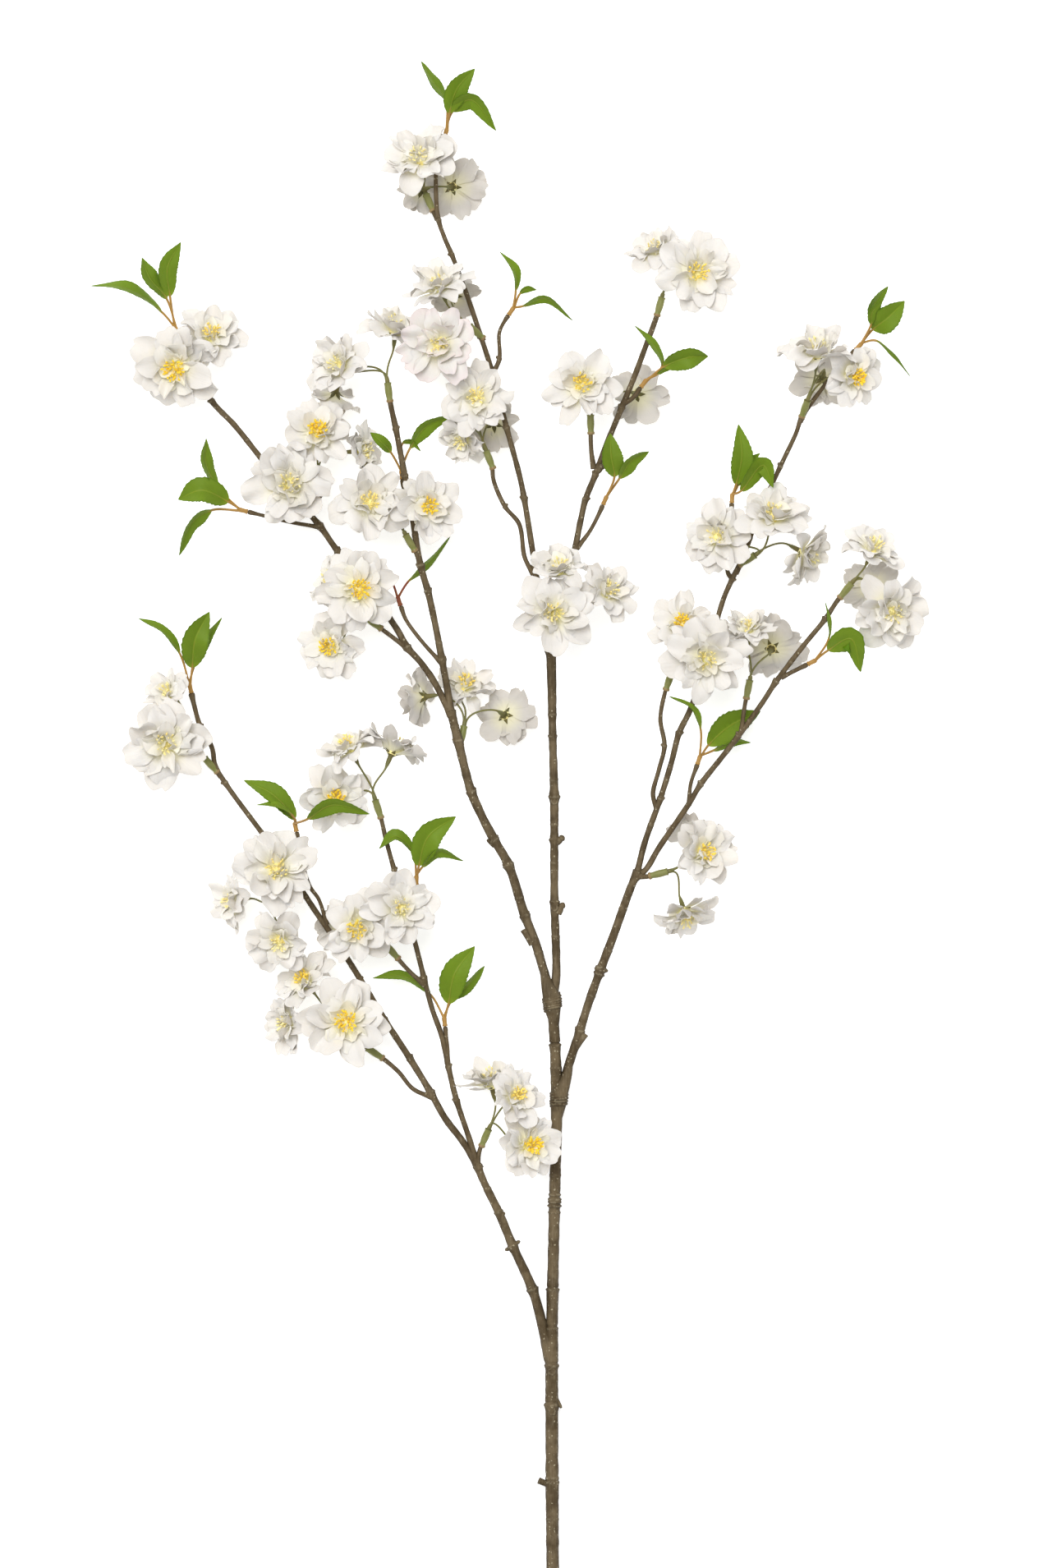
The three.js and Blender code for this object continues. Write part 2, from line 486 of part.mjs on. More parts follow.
// A round bar through the points, with a radius at each.
function bar(points, radii, sides) {
  return skinned(ringsAlong(points, radii, sides, new THREE.Vector3(0.31, 0.17, 0.94)));
}

// How far each point of a route is from its start, along it.
function lengthsAlong(points) {
  const lengths = [0];
  for (let i = 1; i < points.length; i++) {
    lengths.push(lengths[i - 1] + points[i].distanceTo(points[i - 1]));
  }
  return lengths;
}

// One arm of a stem piece, grown all over by the given margin.
function arm({ route, radius, sides = twigSides, socket }, margin = 0) {
  const points = route.map(placed);
  const lengths = lengthsAlong(points);
  const total = lengths.at(-1);
  const radii = route.map(([, , , knot = 1], i) => {
    const plain = radius[0] + ((radius[1] - radius[0]) * lengths[i]) / total;
    return plain * knot + margin;
  });
  if (socket) addSocket(points, radii, margin);
  return bar(points, radii, sides);
}

// Turns the end of a twig into a green socket, with a ring at its foot and a flared mouth.
function addSocket(points, radii, margin) {
  const [before, mouth] = points.slice(-2);
  const along = new THREE.Vector3().subVectors(mouth, before).normalize();
  while (points.length > 1 && points.at(-1).distanceTo(mouth) < socketLength + 2) {
    points.pop();
    radii.pop();
  }
  const rows = [
    [socketLength, socketRadius * 1.25],
    [socketLength - 3, socketRadius],
    [0, socketMouthRadius],
  ];
  for (const [distance, radius] of rows) {
    points.push(mouth.clone().addScaledVector(along, -distance));
    radii.push(radius + margin);
  }
}

// A cut stub or bud on a stem.
function stub([root, tip]) {
  return bar([placed(root), placed(tip)], [2.2, 1.2], twigSides);
}

function stemPiece({ arms, stubs }, margin = 0) {
  const parts = [...arms.map((a) => arm(a, margin)), ...stubs.map(stub)];
  return parts.reduce((whole, part) => whole.add(part));
}

// A double bloom is one skin: a crown of small petals, a cup of middle ones and five outer ones.
// Each row is [share of a fifth of a turn, distance from the axis, height], in radii.
const crownTips = [[0, 0.32, 0.8]];
const crownFoot = [[0.5, 0.17, 0.42]];
const middleRim = [[0, 0.47, 0.44], [0.5, 0.8, 0.62]];
const middleFoot = [[0, 0.22, 0.2]];
const outerRim = [[0.18, 1.03, 0.3], [0.5, 0.6, 0.22], [0.82, 1.03, 0.3]];
const bloomFoot = [[0, 0.13, 0]];

function bloomRings(radius, seed) {
  const random = randomFrom(seed);
  const ring = (rows, wild) =>
    Array.from({ length: 5 }, (_, fifth) =>
      rows.map(([share, out, up]) => {
        const angle = ((fifth + share) * 2 * Math.PI) / 5;
        const r = radius * out * (1 + wild * (2 * random() - 1));
        const z = radius * (up + wild * (2 * random() - 1));
        return new THREE.Vector3(r * Math.cos(angle), r * Math.sin(angle), z);
      }),
    ).flat();
  const rim = ring(outerRim, 0.08);
  return [
    [new THREE.Vector3(0, 0, radius * 0.6)],
    ring(crownTips, 0.06),
    ring(crownFoot, 0),
    ring(middleRim, 0.07),
    ring(middleFoot, 0),
    rim,
    rim.map((p) => p.clone().setZ(p.z - petalThickness)),
    ring(bloomFoot, 0),
  ];
}

// Where a bloom's petals meet its calyx. The places in the list are the middle of the calyx or
// the middle of the disc, seen from above, so this lies further on or further back.
function petalFoot({ calyx, centre, height, radius }, faces) {
  const foot = placed([...(calyx ?? centre), height]);
  const onwards = calyx ? calyxLength / 2 : -0.5 * radius;
  foot.x += onwards * faces.x;
  foot.y += onwards * faces.y;
  return foot;
}

// A bloom with its calyx and its stalk, down to the root of the stalk in the plug.
function bloomOnStalk(bloom, root, along, seed) {
  const faces = new THREE.Vector3(...bloom.faces).normalize();
  const foot = petalFoot(bloom, faces);
  const turn = new THREE.Quaternion().setFromUnitVectors(new THREE.Vector3(0, 0, 1), faces);
  const petals = bloomRings(bloom.radius, seed).map((ring) =>
    ring.map((p) => p.applyQuaternion(turn).add(foot)),
  );
  const end = foot.clone().addScaledVector(faces, -calyxLength);
  const [atCalyx, atPlug] = stalkLift.map((share) => share * root.distanceTo(end));
  const curve = new THREE.CubicBezierCurve3(
    end,
    end.clone().addScaledVector(faces, -atCalyx),
    root.clone().addScaledVector(along, atPlug),
    root,
  );
  const bends = [0, 0.6, 1].map((t) => curve.getPoint(t));
  const points = [foot.clone().addScaledVector(faces, -1), ...bends];
  const radii = [calyxRadius, stalkRadius * 1.5, stalkRadius, stalkRadius];
  const sideways = new THREE.Vector3(1, 0, 0).applyQuaternion(turn);
  return skinned([...petals, ...ringsAlong(points, radii, 3, sideways)]);
}

function blossomSpray({ socket, blooms }, number) {
  const [before, mouth] = socket.map(placed);
  const along = new THREE.Vector3().subVectors(mouth, before).normalize();
  const foot = mouth.clone().addScaledVector(along, seat);
  const plugEnd = foot.clone().addScaledVector(along, plugLength);
  const plug = bar([foot, plugEnd], [plugRadius, plugRadius], plugSides);
  const across = new THREE.Vector3(0, 0, 1).projectOnPlane(along).setLength(stalkSpread);
  const flowers = blooms.map((bloom, i) => {
    const aside = across.clone().applyAxisAngle(along, (i * 2 * Math.PI) / blooms.length);
    const root = foot.clone().addScaledVector(along, plugLength / 2).add(aside);
    return bloomOnStalk(bloom, root, along, number * 10 + i);
  });
  return flowers.reduce((whole, part) => whole.add(part), plug);
}

// A leaf with its petiole: one ridged blade with waved edges, from five-cornered sections.
const bladeStations = [0.22, 0.48, 0.76];
const edgeWave = [1, 0.92, 1.05];
const petioleCorners = [[0.8, -0.45], [0, 0.9], [-0.8, -0.45]];

function leaf({ base, bend, tip, roll }, start) {
  const curve = new THREE.CatmullRomCurve3([start, placed(base), placed(bend), placed(tip)]);
  const bladeLength = placed(base).distanceTo(placed(bend)) + placed(bend).distanceTo(placed(tip));
  const width = leafWidthShare * bladeLength;
  const section = (t, corners) => {
    const centre = curve.getPoint(t);
    const along = curve.getTangent(t);
    const side = new THREE.Vector3().crossVectors(along, new THREE.Vector3(0, 0, 1)).normalize();
    side.applyAxisAngle(along, THREE.MathUtils.degToRad(roll));
    const up = new THREE.Vector3().crossVectors(side, along);
    return corners.map(([across, lift]) =>
      centre.clone().addScaledVector(side, across).addScaledVector(up, lift),
    );
  };
  const blade = bladeStations.map((s, i) => {
    const half = 0.5 * width * Math.sin(Math.PI * s ** 0.85) ** 0.8 * edgeWave[i];
    const ridge = 0.16 * half + 0.2;
    const corners = [[half, 0], [0, ridge], [-half, 0], [-half, -leafThickness], [half, -leafThickness]];
    return section((1 + 2 * s) / 3, corners);
  });
  return skinned([
    section(0, petioleCorners),
    section(1 / 3, petioleCorners),
    ...blade,
    [placed(tip)],
  ]);
}

function leafSprig({ twig, leaves }) {
  const [before, end] = twig.map(placed);
  const along = new THREE.Vector3().subVectors(end, before).normalize();
  const foot = end.clone().addScaledVector(along, seat);
  const top = foot.clone().addScaledVector(along, footLength);
  const stand = bar([foot, top], [footRadius, footRadius], twigSides);
  const across = new THREE.Vector3(0, 0, 1).projectOnPlane(along).setLength(petioleSpread);
  const blades = leaves.map((l, i) => {
    const aside = across.clone().applyAxisAngle(along, (i * 2 * Math.PI) / leaves.length);
    return leaf(l, top.clone().addScaledVector(along, -petioleSunk).add(aside));
  });
  return blades.reduce((whole, part) => whole.add(part), stand);
}

// Cuts away what lies below the surface, so that what rests there is flat.
function restingOn(body) {
  const depth = 20;
  const size = 3000;
  const [low, high] = [-size / 2, size / 2];
  const corners = [[low, low], [high, low], [high, high], [low, high]];
  const ground = skinned([
    corners.map(([x, y]) => new THREE.Vector3(x, y, 0)),
    corners.map(([x, y]) => new THREE.Vector3(x, y, -depth)),
  ]);
  return body.subtract(ground);
}

// Adds a body to the spray as a named mesh.
function addPiece(name, body, material) {
  const joined = restingOn(body).asOriginal().simplify(smallestEdge);
  const { vertProperties, triVerts } = joined.getMesh();
  const geometry = new THREE.BufferGeometry();
  geometry.setAttribute("position", new THREE.BufferAttribute(vertProperties, 3));
  geometry.setIndex(new THREE.BufferAttribute(triVerts, 1));
  geometry.computeVertexNormals();
  const mesh = new THREE.Mesh(geometry, material);
  mesh.name = name;
  spray.add(mesh);
}

// The main stem first, then each side branch, cut to sit on it.
const { main_stem: leader, ...sideBranches } = stems;
const leaderSeat = stemPiece(leader, seat);
addPiece("main_stem", stemPiece(leader), bark);
for (const [name, branch] of Object.entries(sideBranches)) {
  addPiece(name, stemPiece(branch).subtract(leaderSeat), bark);
}

const numbered = (name, index) => `${name}_${String(index + 1).padStart(2, "0")}`;
sprays.forEach((s, i) => addPiece(numbered("blossom_spray", i), blossomSpray(s, i + 1), petal));
sprigs.forEach((s, i) => addPiece(numbered("leaf_sprig", i), leafSprig(s), leafGreen));

export default spray;
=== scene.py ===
import math

import bpy
import numpy as np
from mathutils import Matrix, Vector, noise


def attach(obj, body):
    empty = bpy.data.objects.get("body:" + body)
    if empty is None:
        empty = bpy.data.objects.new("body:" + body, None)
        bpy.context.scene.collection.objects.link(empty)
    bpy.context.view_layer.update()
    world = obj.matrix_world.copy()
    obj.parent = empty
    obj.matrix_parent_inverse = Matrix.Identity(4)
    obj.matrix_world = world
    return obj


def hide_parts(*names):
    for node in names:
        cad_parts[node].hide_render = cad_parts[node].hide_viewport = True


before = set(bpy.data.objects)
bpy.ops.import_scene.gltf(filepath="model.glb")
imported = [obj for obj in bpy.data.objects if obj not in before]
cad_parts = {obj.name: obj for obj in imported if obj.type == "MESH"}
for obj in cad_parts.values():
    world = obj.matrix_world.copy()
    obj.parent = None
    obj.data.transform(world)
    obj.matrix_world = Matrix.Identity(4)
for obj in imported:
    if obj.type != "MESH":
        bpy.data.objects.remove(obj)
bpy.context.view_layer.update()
print("frame loaded,", len(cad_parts), "nodes")

# A cut spray of double white cherry blossom in cloth and moulded plastic, lying on a table.
# Shapes are worked out in millimetres and turned into metres when a mesh is made.
# A place is (x, y, height): x and y in pixels of the picture, height in millimetres.
mmPerPixel = 0.6
middlePixel = (623.6, 1018.6)
pictureSize = (1270, 1909)
upright = np.array([0, 0, 1.0])
aslant = [0.31, 0.17, 0.94]  # a direction that no line here runs along
fullTurn = 2 * math.pi


# An arm of a stem piece: its radius at both ends, or at each place, and the places on its way. A
# fourth number at a place makes a knot there. An arm with a socket ends in a green one.
def newArm(start, end, *route, socket=False, radii=None):
    return dict(radius=(start, end), route=route, socket=socket, radii=radii)


# A bloom at its middle, or at its calyx where that shows, with the way that it faces. Gold is how
# open and golden its stamens are and pink how strong its blush is, both from 0 to 1.
def newBloom(x, y, height, faces, radius, gold=0, pink=0, spin=0, atCalyx=False):
    return dict(
        place=(x, y, height), faces=faces, radius=radius, gold=gold, pink=pink, spin=spin, atCalyx=atCalyx,
    )


# A leaf: the places of its blade's base, middle and tip, and how far it is rolled in degrees.
def newLeaf(base, bend, tip, roll, fold=1, widen=1, bright=0):
    return dict(line=(base, bend, tip), roll=roll, fold=fold, widen=widen, bright=bright)


# Stem pieces, each with its arms, and its cut stubs, thorns and buds from root to tip. Sprays and
# sprigs are in the frame's order. Each starts with the place before a twig's end and the end itself.
stems = {
    "main_stem": dict(
        cut=[((669, 1809, 8), (657, 1804, 9))],
        thorn=[((676, 1702, 12), (683, 1714, 13))],
        bud=[((679, 1112, 38), (686, 1100, 39)), ((678, 1025, 40), (686, 1019, 42)),
            ((727, 573, 47), (734, 567, 50))],
        arms=[
            newArm(5.1, 3, (674, 1962, 4.6), (673, 1910, 5.6), (672, 1806, 8, 1.08),
                (672, 1712, 11, 1.08), (672, 1664, 13, 1.06), (673, 1570, 17, 1.05),
                (675, 1464, 21, 1.1), (678, 1341, 28, 1.12), (676, 1272, 31, 1.05),
                (673, 1215, 34, 1.2), (677, 1190, 35), (675, 1098, 38, 1.12), (675, 1022, 40, 1.12),
                (675, 970, 41, 1.2), (673, 896, 43, 1.1), (672, 840, 44), (671, 792, 45, 1.15),
                (672, 737, 46, 1.15),
                radii=(4.6, 4.6, 4.7, 4.7, 4.6, 4.3, 4, 4.2, 3.9, 4, 3.1, 3, 3, 3.2, 2.8, 3.3, 3.6, 3.4)),
            newArm(2.3, 1.5, (672, 745, 46), (653, 702, 46), (649, 675, 45), (638, 606, 44, 1.15),
                (633, 581, 44), (617, 521, 43, 1.1), (600, 455, 42, 1.2), (586, 411, 41, 1.1),
                (567, 355, 39), (550, 310, 38, 1.1), (541, 289, 37.5), (534, 268, 37, 1.1),
                (531, 240, 36), (532, 200, 34), (541, 168, 32)),
            newArm(1.7, 1.6, (650, 700, 45), (639, 679, 44), (632, 638, 43), (615, 617, 42, 1.1),
                (601, 585, 42), (599, 567, 42), (592, 549, 43), socket=True),
            newArm(1.6, 1.3, (600, 455, 42), (608, 437, 42, 1.1), (608, 405, 41), (615, 390, 40),
                (619, 384, 40)),
            newArm(1.6, 1.6, (533, 267, 37), (527, 256, 33), (519, 237, 28), socket=True),
            newArm(1.6, 1.6, (589, 415, 41), (584, 408, 42), (572, 397, 45), socket=True),
            newArm(2.4, 2, (672, 745, 46), (697, 680, 47), (707, 634, 47), (713, 608, 47, 1.1),
                (725, 578, 47, 1.1), (741, 535, 47), (757, 496, 47, 1.15), (773, 457, 46),
                (785, 425, 46), (800, 384, 46), (806, 362, 47), socket=True),
            newArm(1.7, 1.7, (723, 571, 47), (720, 549, 46), (719, 505, 47), socket=True),
            newArm(1.6, 1.4, (702, 668, 47), (718, 647, 45), (730, 624, 44), (734, 615, 44)),
            newArm(1.5, 1.4, (759, 492, 47), (771, 484, 47), (780, 472, 47)),
            newArm(1.7, 1.7, (672, 772, 46), (687, 758, 49), (700, 738, 52), socket=True),
        ],
    ),
    "lower_left_branch": dict(
        thorn=[((625, 1519, 20), (616, 1522, 20)), ((624, 1517, 20), (632, 1512, 21)),
            ((606, 1476, 22), (614, 1478, 22)), ((436, 1194, 30), (428, 1197, 31)),
            ((436, 1194, 30), (441, 1190, 31))],
        arms=[
            newArm(3.9, 2.7, (669, 1655, 13), (658, 1604, 15), (648, 1570, 17, 1.12),
                (624, 1517, 20, 1.15), (607, 1476, 22, 1.1), (589, 1439, 23), (581, 1419, 24, 1.15)),
            newArm(2.6, 1.7, (584, 1424, 24), (564, 1391, 25), (542, 1362, 26), (524, 1330, 27, 1.15),
                (499, 1289, 28, 1.1), (468, 1241, 29, 1.1), (441, 1196, 30), (415, 1155, 30, 1.1),
                (379, 1102, 30), (350, 1058, 30), (323, 1020, 30, 1.15), (274, 953, 30, 1.1),
                (262, 932, 30), (258, 910, 30), (244, 885, 30, 1.1), (236, 857, 30), (233, 844, 31)),
            newArm(1.7, 1.6, (528, 1337, 27), (503, 1326, 27), (485, 1305, 27), (465, 1288, 28),
                (447, 1276, 30), socket=True),
            newArm(1.5, 1.4, (398, 1126, 30), (388, 1095, 31), (377, 1079, 31), (367, 1045, 32),
                (361, 1013, 33)),
            newArm(1.6, 1.6, (269, 946, 30), (262, 937, 30), (249, 923, 32), socket=True),
            newArm(1.6, 1.6, (364, 1079, 30), (353, 1086, 31), (338, 1094, 33), socket=True),
            newArm(2.15, 1.65, (583, 1424, 24), (571, 1385, 26), (556, 1340, 28, 1.1),
                (546, 1299, 30, 1.1), (538, 1262, 32), (526, 1228, 33), (516, 1190, 35, 1.2),
                (503, 1139, 36), (490, 1095, 37), (480, 1059, 38, 1.1), (470, 1022, 39), (464, 996, 39),
                (457, 974, 41), socket=True),
            newArm(1.7, 1.7, (518, 1200, 35), (498, 1182, 36), (470, 1150, 40), socket=True),
            newArm(1.5, 1.4, (546, 1301, 30), (545, 1277, 31), (542, 1250, 32)),
            newArm(1.5, 1.4, (502, 1138, 36), (507, 1105, 38), (507, 1078, 39)),
            newArm(1.7, 1.7, (581, 1421, 24), (584, 1401, 26), (595, 1375, 31), socket=True),
        ],
    ),
    "upper_left_branch": dict(
        cut=[((648, 1150, 36), (638, 1133, 37))],
        thorn=[((602, 1030, 38), (594, 1023, 39))],
        arms=[
            newArm(3.4, 3.2, (674, 1222, 34), (661, 1178, 35), (651, 1145, 36), (639, 1115, 36, 1.1),
                (619, 1053, 37, 1.12), (602, 1023, 38, 1.1), (586, 992, 38), (574, 964, 38, 1.1),
                (558, 902, 38, 1.1), (549, 865, 38, 1.1)),
            newArm(2.6, 2, (550, 872, 38), (545, 841, 38), (538, 803, 39, 1.15), (530, 761, 40),
                (521, 720, 40, 1.1), (512, 688, 41, 1.15), (500, 615, 42), (493, 579, 42, 1.1),
                (482, 522, 43, 1.1), (475, 489, 44), (472, 466, 45), socket=True),
            newArm(1.6, 1.6, (513, 695, 41), (506, 672, 43), (494, 651, 46), socket=True),
            newArm(1.6, 1.4, (538, 808, 39), (512, 779, 39), (494, 754, 39), (488, 738, 39)),
            newArm(1.4, 1.4, (497, 603, 42), (491, 592, 38), (490, 584, 37)),
            newArm(2.5, 2, (550, 872, 38), (528, 829, 37), (512, 806, 36), (496, 788, 35, 1.2),
                (484, 767, 34), (448, 715, 33), (411, 671, 33, 1.1), (389, 640, 33, 1.25),
                (355, 601, 33), (322, 563, 33, 1.15), (286, 518, 33), (258, 488, 33, 1.1),
                (243, 456, 36), socket=True),
            newArm(1.7, 1.6, (498, 791, 35), (473, 772, 36), (446, 752, 40), socket=True),
            newArm(1.7, 1.7, (560, 920, 37), (561, 905, 33), (565, 884, 31), socket=True),
            newArm(1.6, 1.3, (391, 642, 33), (351, 635, 32), (322, 628, 31), (302, 623, 31)),
            newArm(1.6, 1.6, (372, 620, 33), (392, 600, 36), (388, 574, 40), socket=True),
            newArm(1.5, 1.4, (260, 492, 33), (238, 452, 29), (218, 409, 29)),
        ],
    ),
    "right_branch": dict(
        cut=[((701, 1276, 31), (712, 1260, 32))],
        thorn=[((733, 1184, 35), (726, 1178, 36)), ((732, 1181, 34), (739, 1182, 35))],
        arms=[
            newArm(3.3, 3, (680, 1337, 28), (688, 1311, 29), (706, 1255, 31, 1.1), (716, 1223, 32),
                (731, 1181, 34, 1.15), (747, 1139, 36), (768, 1081, 38), (777, 1060, 39, 1.12)),
            newArm(2.3, 1.5, (775, 1067, 39), (785, 1026, 40), (804, 972, 43, 1.1), (817, 930, 45),
                (827, 892, 46, 1.15), (840, 865, 47), (858, 810, 48), (881, 729, 50),
                (891, 706, 50, 1.1), (905, 677, 51, 1.15), (924, 625, 52), (950, 568, 53, 1.1),
                (969, 528, 54), (976, 509, 54, 1.2), (1018, 452, 54), (1041, 427, 54)),
            newArm(1.6, 1.6, (974, 514, 54), (977, 505, 55), (983, 488, 60), socket=True),
            newArm(1.7, 1.6, (800, 986, 43), (795, 967, 43), (802, 938, 44), (809, 908, 44, 1.1),
                (804, 875, 45), (810, 842, 46), (818, 818, 48), socket=True),
            newArm(1.5, 1.4, (893, 706, 50), (886, 697, 48), (889, 650, 47), (891, 613, 48)),
            newArm(1.6, 1.6, (896, 698, 51), (903, 686, 54), (919, 676, 58), socket=True),
            newArm(2.2, 1.8, (774, 1069, 39), (787, 1058, 39), (802, 1033, 38), (838, 980, 37),
                (853, 955, 37, 1.1), (878, 923, 36), (899, 896, 36, 1.1), (928, 856, 35),
                (945, 830, 35, 1.15), (981, 783, 35), (1004, 755, 35, 1.1), (1020, 731, 35),
                (1037, 710, 37), socket=True),
            newArm(1.6, 1.6, (903, 891, 36), (906, 865, 38), (913, 828, 41), socket=True),
            newArm(1.5, 1.4, (951, 825, 35), (983, 809, 36)),
            newArm(1.5, 1.4, (839, 981, 37), (841, 955, 38), (849, 931, 40)),
            newArm(1.7, 1.7, (774, 1067, 39), (789, 1067, 41), (813, 1061, 43), socket=True),
        ],
    ),
}

sprays = [
    [(527, 256, 33), (519, 237, 28),
     newBloom(508, 187, 40, (-0.25, 0.45, 0.85), 28.5, 0.1),
     newBloom(547, 227, 17, (0.35, 0, -0.94), 25, atCalyx=True),
     newBloom(505, 234, 25, (-0.6, -0.2, -0.75), 17)],
    [(584, 408, 42), (572, 397, 45),
     newBloom(541, 362, 54, (-0.3, 0.8, 0.5), 26.5, atCalyx=True),
     newBloom(533, 421, 62, (-0.1, -0.1, 0.98), 28.5, 0.25, pink=1),
     newBloom(553, 355, 25, (0.1, 0.3, -0.9), 19)],
    [(475, 489, 44), (472, 466, 45),
     newBloom(480, 416, 40, (0.1, 0.92, 0.35), 26.5, atCalyx=True),
     newBloom(405, 441, 50, (-0.55, 0.3, 0.78), 25),
     newBloom(411, 470, 22, (-0.2, -0.8, -0.4), 20, atCalyx=True)],
    [(392, 600, 36), (388, 574, 40),
     newBloom(387, 522, 47, (0, 0.35, 0.93), 26.5, 1),
     newBloom(426, 550, 36, (0.85, 0.05, 0.45), 22, atCalyx=True),
     newBloom(353, 588, 56, (0.05, 0.1, 0.99), 32, 0.15)],
    [(506, 672, 43), (494, 651, 46),
     newBloom(451, 609, 54, (0, 0.25, 0.95), 28, 0.4),
     newBloom(523, 616, 64, (0.15, 0.1, 0.97), 25.5, 0.8)],
    [(599, 567, 42), (592, 549, 43),
     newBloom(580, 482, 50, (0, 0.3, 0.95), 27, 0.3),
     newBloom(559, 540, 39, (-0.4, -0.5, 0.7), 20, 0.1),
     newBloom(603, 521, 24, (0.1, -0.3, -0.9), 20)],
    [(720, 549, 46), (719, 505, 47),
     newBloom(709, 466, 58, (-0.05, 0.25, 0.96), 28, 0.6),
     newBloom(779, 483, 26, (0.25, -0.15, -0.95), 23.5)],
    [(800, 384, 46), (806, 362, 47),
     newBloom(851, 332, 58, (0.1, 0.1, 0.98), 30, 0.55),
     newBloom(795, 297, 44, (-0.3, 0.6, 0.5), 22.5, 0.1)],
    [(977, 505, 55), (983, 488, 60),
     newBloom(993, 446, 72, (0.05, 0.9, 0.4), 29, atCalyx=True),
     newBloom(1046, 460, 64, (0.6, -0.1, 0.75), 25, 1),
     newBloom(1000, 470, 38, (-0.1, -0.5, -0.8), 22)],
    [(903, 686, 54), (919, 676, 58),
     newBloom(870, 651, 62, (-0.25, 0.25, 0.93), 26.5),
     newBloom(938, 640, 68, (0.15, 0.6, 0.75), 27, 0.2, atCalyx=True),
     newBloom(967, 667, 52, (0.75, -0.4, 0.35), 25, atCalyx=True)],
    [(1020, 731, 35), (1037, 710, 37),
     newBloom(1057, 682, 44, (0.35, 0.75, 0.5), 24, 0.1, atCalyx=True),
     newBloom(1063, 713, 18, (-0.1, -0.1, -0.98), 22, atCalyx=True),
     newBloom(1090, 748, 42, (0.35, -0.2, 0.9), 29, 0.1)],
    [(810, 842, 46), (818, 818, 48),
     newBloom(860, 804, 64, (0, -0.1, 0.99), 31, 0.25),
     newBloom(830, 757, 50, (-0.1, 0.35, 0.9), 24, 0.8),
     newBloom(882, 787, 30, (0.3, -0.2, -0.8), 19)],
    [(906, 865, 38), (913, 828, 41),
     newBloom(911, 757, 38, (0, 0.8, 0.4), 21.5, 0.1),
     newBloom(938, 793, 19, (0.15, 0.3, -0.93), 26, atCalyx=True)],
    [(789, 1067, 41), (813, 1061, 43),
     newBloom(863, 1036, 46, (0.5, 0.15, 0.8), 27, 0.6),
     newBloom(830, 1099, 40, (0.25, -0.75, 0.4), 24, atCalyx=True),
     newBloom(842, 1030, 22, (0.15, 0.6, -0.5), 20, atCalyx=True)],
    [(561, 905, 33), (565, 884, 31),
     newBloom(568, 827, 12, (0.15, 0.6, 0.75), 23, 0.5),
     newBloom(610, 868, 18, (0.4, -0.25, -0.8), 24, atCalyx=True),
     newBloom(526, 847, 24, (-0.8, -0.1, -0.35), 22, atCalyx=True)],
    [(687, 758, 49), (700, 738, 52),
     newBloom(675, 745, 70, (0, 0.1, 0.99), 29.5, 0.3),
     newBloom(681, 683, 60, (0, 0.75, 0.55), 23, 0.1),
     newBloom(730, 730, 54, (0.5, 0.5, 0.6), 24, 0.2, atCalyx=True)],
    [(258, 488, 33), (243, 456, 36),
     newBloom(211, 452, 50, (-0.15, -0.3, 0.93), 32, 1),
     newBloom(258, 402, 40, (0.1, 0.5, 0.85), 25.5, 0.5)],
    [(473, 772, 36), (446, 752, 40),
     newBloom(439, 717, 54, (0.1, 0, 0.99), 31, 1),
     newBloom(396, 702, 38, (-0.8, 0.35, 0.35), 22),
     newBloom(398, 788, 40, (-0.4, -0.1, 0.88), 26, 0.8)],
    [(262, 937, 30), (249, 923, 32),
     newBloom(202, 905, 44, (0, 0, 1), 32, 0.25),
     newBloom(200, 838, 32, (-0.5, 0.5, 0.6), 20)],
    [(353, 1086, 31), (338, 1094, 33),
     newBloom(337, 1057, 52, (0, 0.1, 0.99), 32, 0.35),
     newBloom(297, 1095, 16, (-0.85, -0.1, 0.45), 22, atCalyx=True),
     newBloom(338, 1150, 44, (-0.2, -0.3, 0.9), 25, 0.15)],
    [(464, 996, 39), (457, 974, 41),
     newBloom(409, 972, 40, (0.1, 0.1, 0.98), 26.5, 0.9),
     newBloom(420, 900, 48, (-0.4, 0.75, 0.3), 24, 0.4),
     newBloom(473, 927, 44, (0.35, 0.85, -0.1), 25, atCalyx=True)],
    [(498, 1182, 36), (470, 1150, 40),
     newBloom(490, 1104, 56, (0.1, 0.1, 0.98), 27, 0.15),
     newBloom(434, 1131, 46, (-0.1, -0.1, 0.98), 28, 0.6),
     newBloom(412, 1133, 20, (-0.3, 0, -0.95), 19)],
    [(465, 1288, 28), (447, 1276, 30),
     newBloom(421, 1243, 50, (0, 0.1, 0.99), 32.5, 1),
     newBloom(380, 1206, 30, (-0.45, 0.6, 0.6), 25, 0.6, atCalyx=True),
     newBloom(342, 1247, 28, (-0.7, -0.1, 0.5), 23, 0.1)],
    [(584, 1401, 26), (595, 1375, 31),
     newBloom(601, 1333, 32, (-0.2, 0.85, 0.3), 25, atCalyx=True),
     newBloom(620, 1341, 50, (0.45, 0.35, 0.75), 23, 0.5, atCalyx=True),
     newBloom(651, 1394, 46, (0.5, 0.1, 0.8), 26, 1)],
]

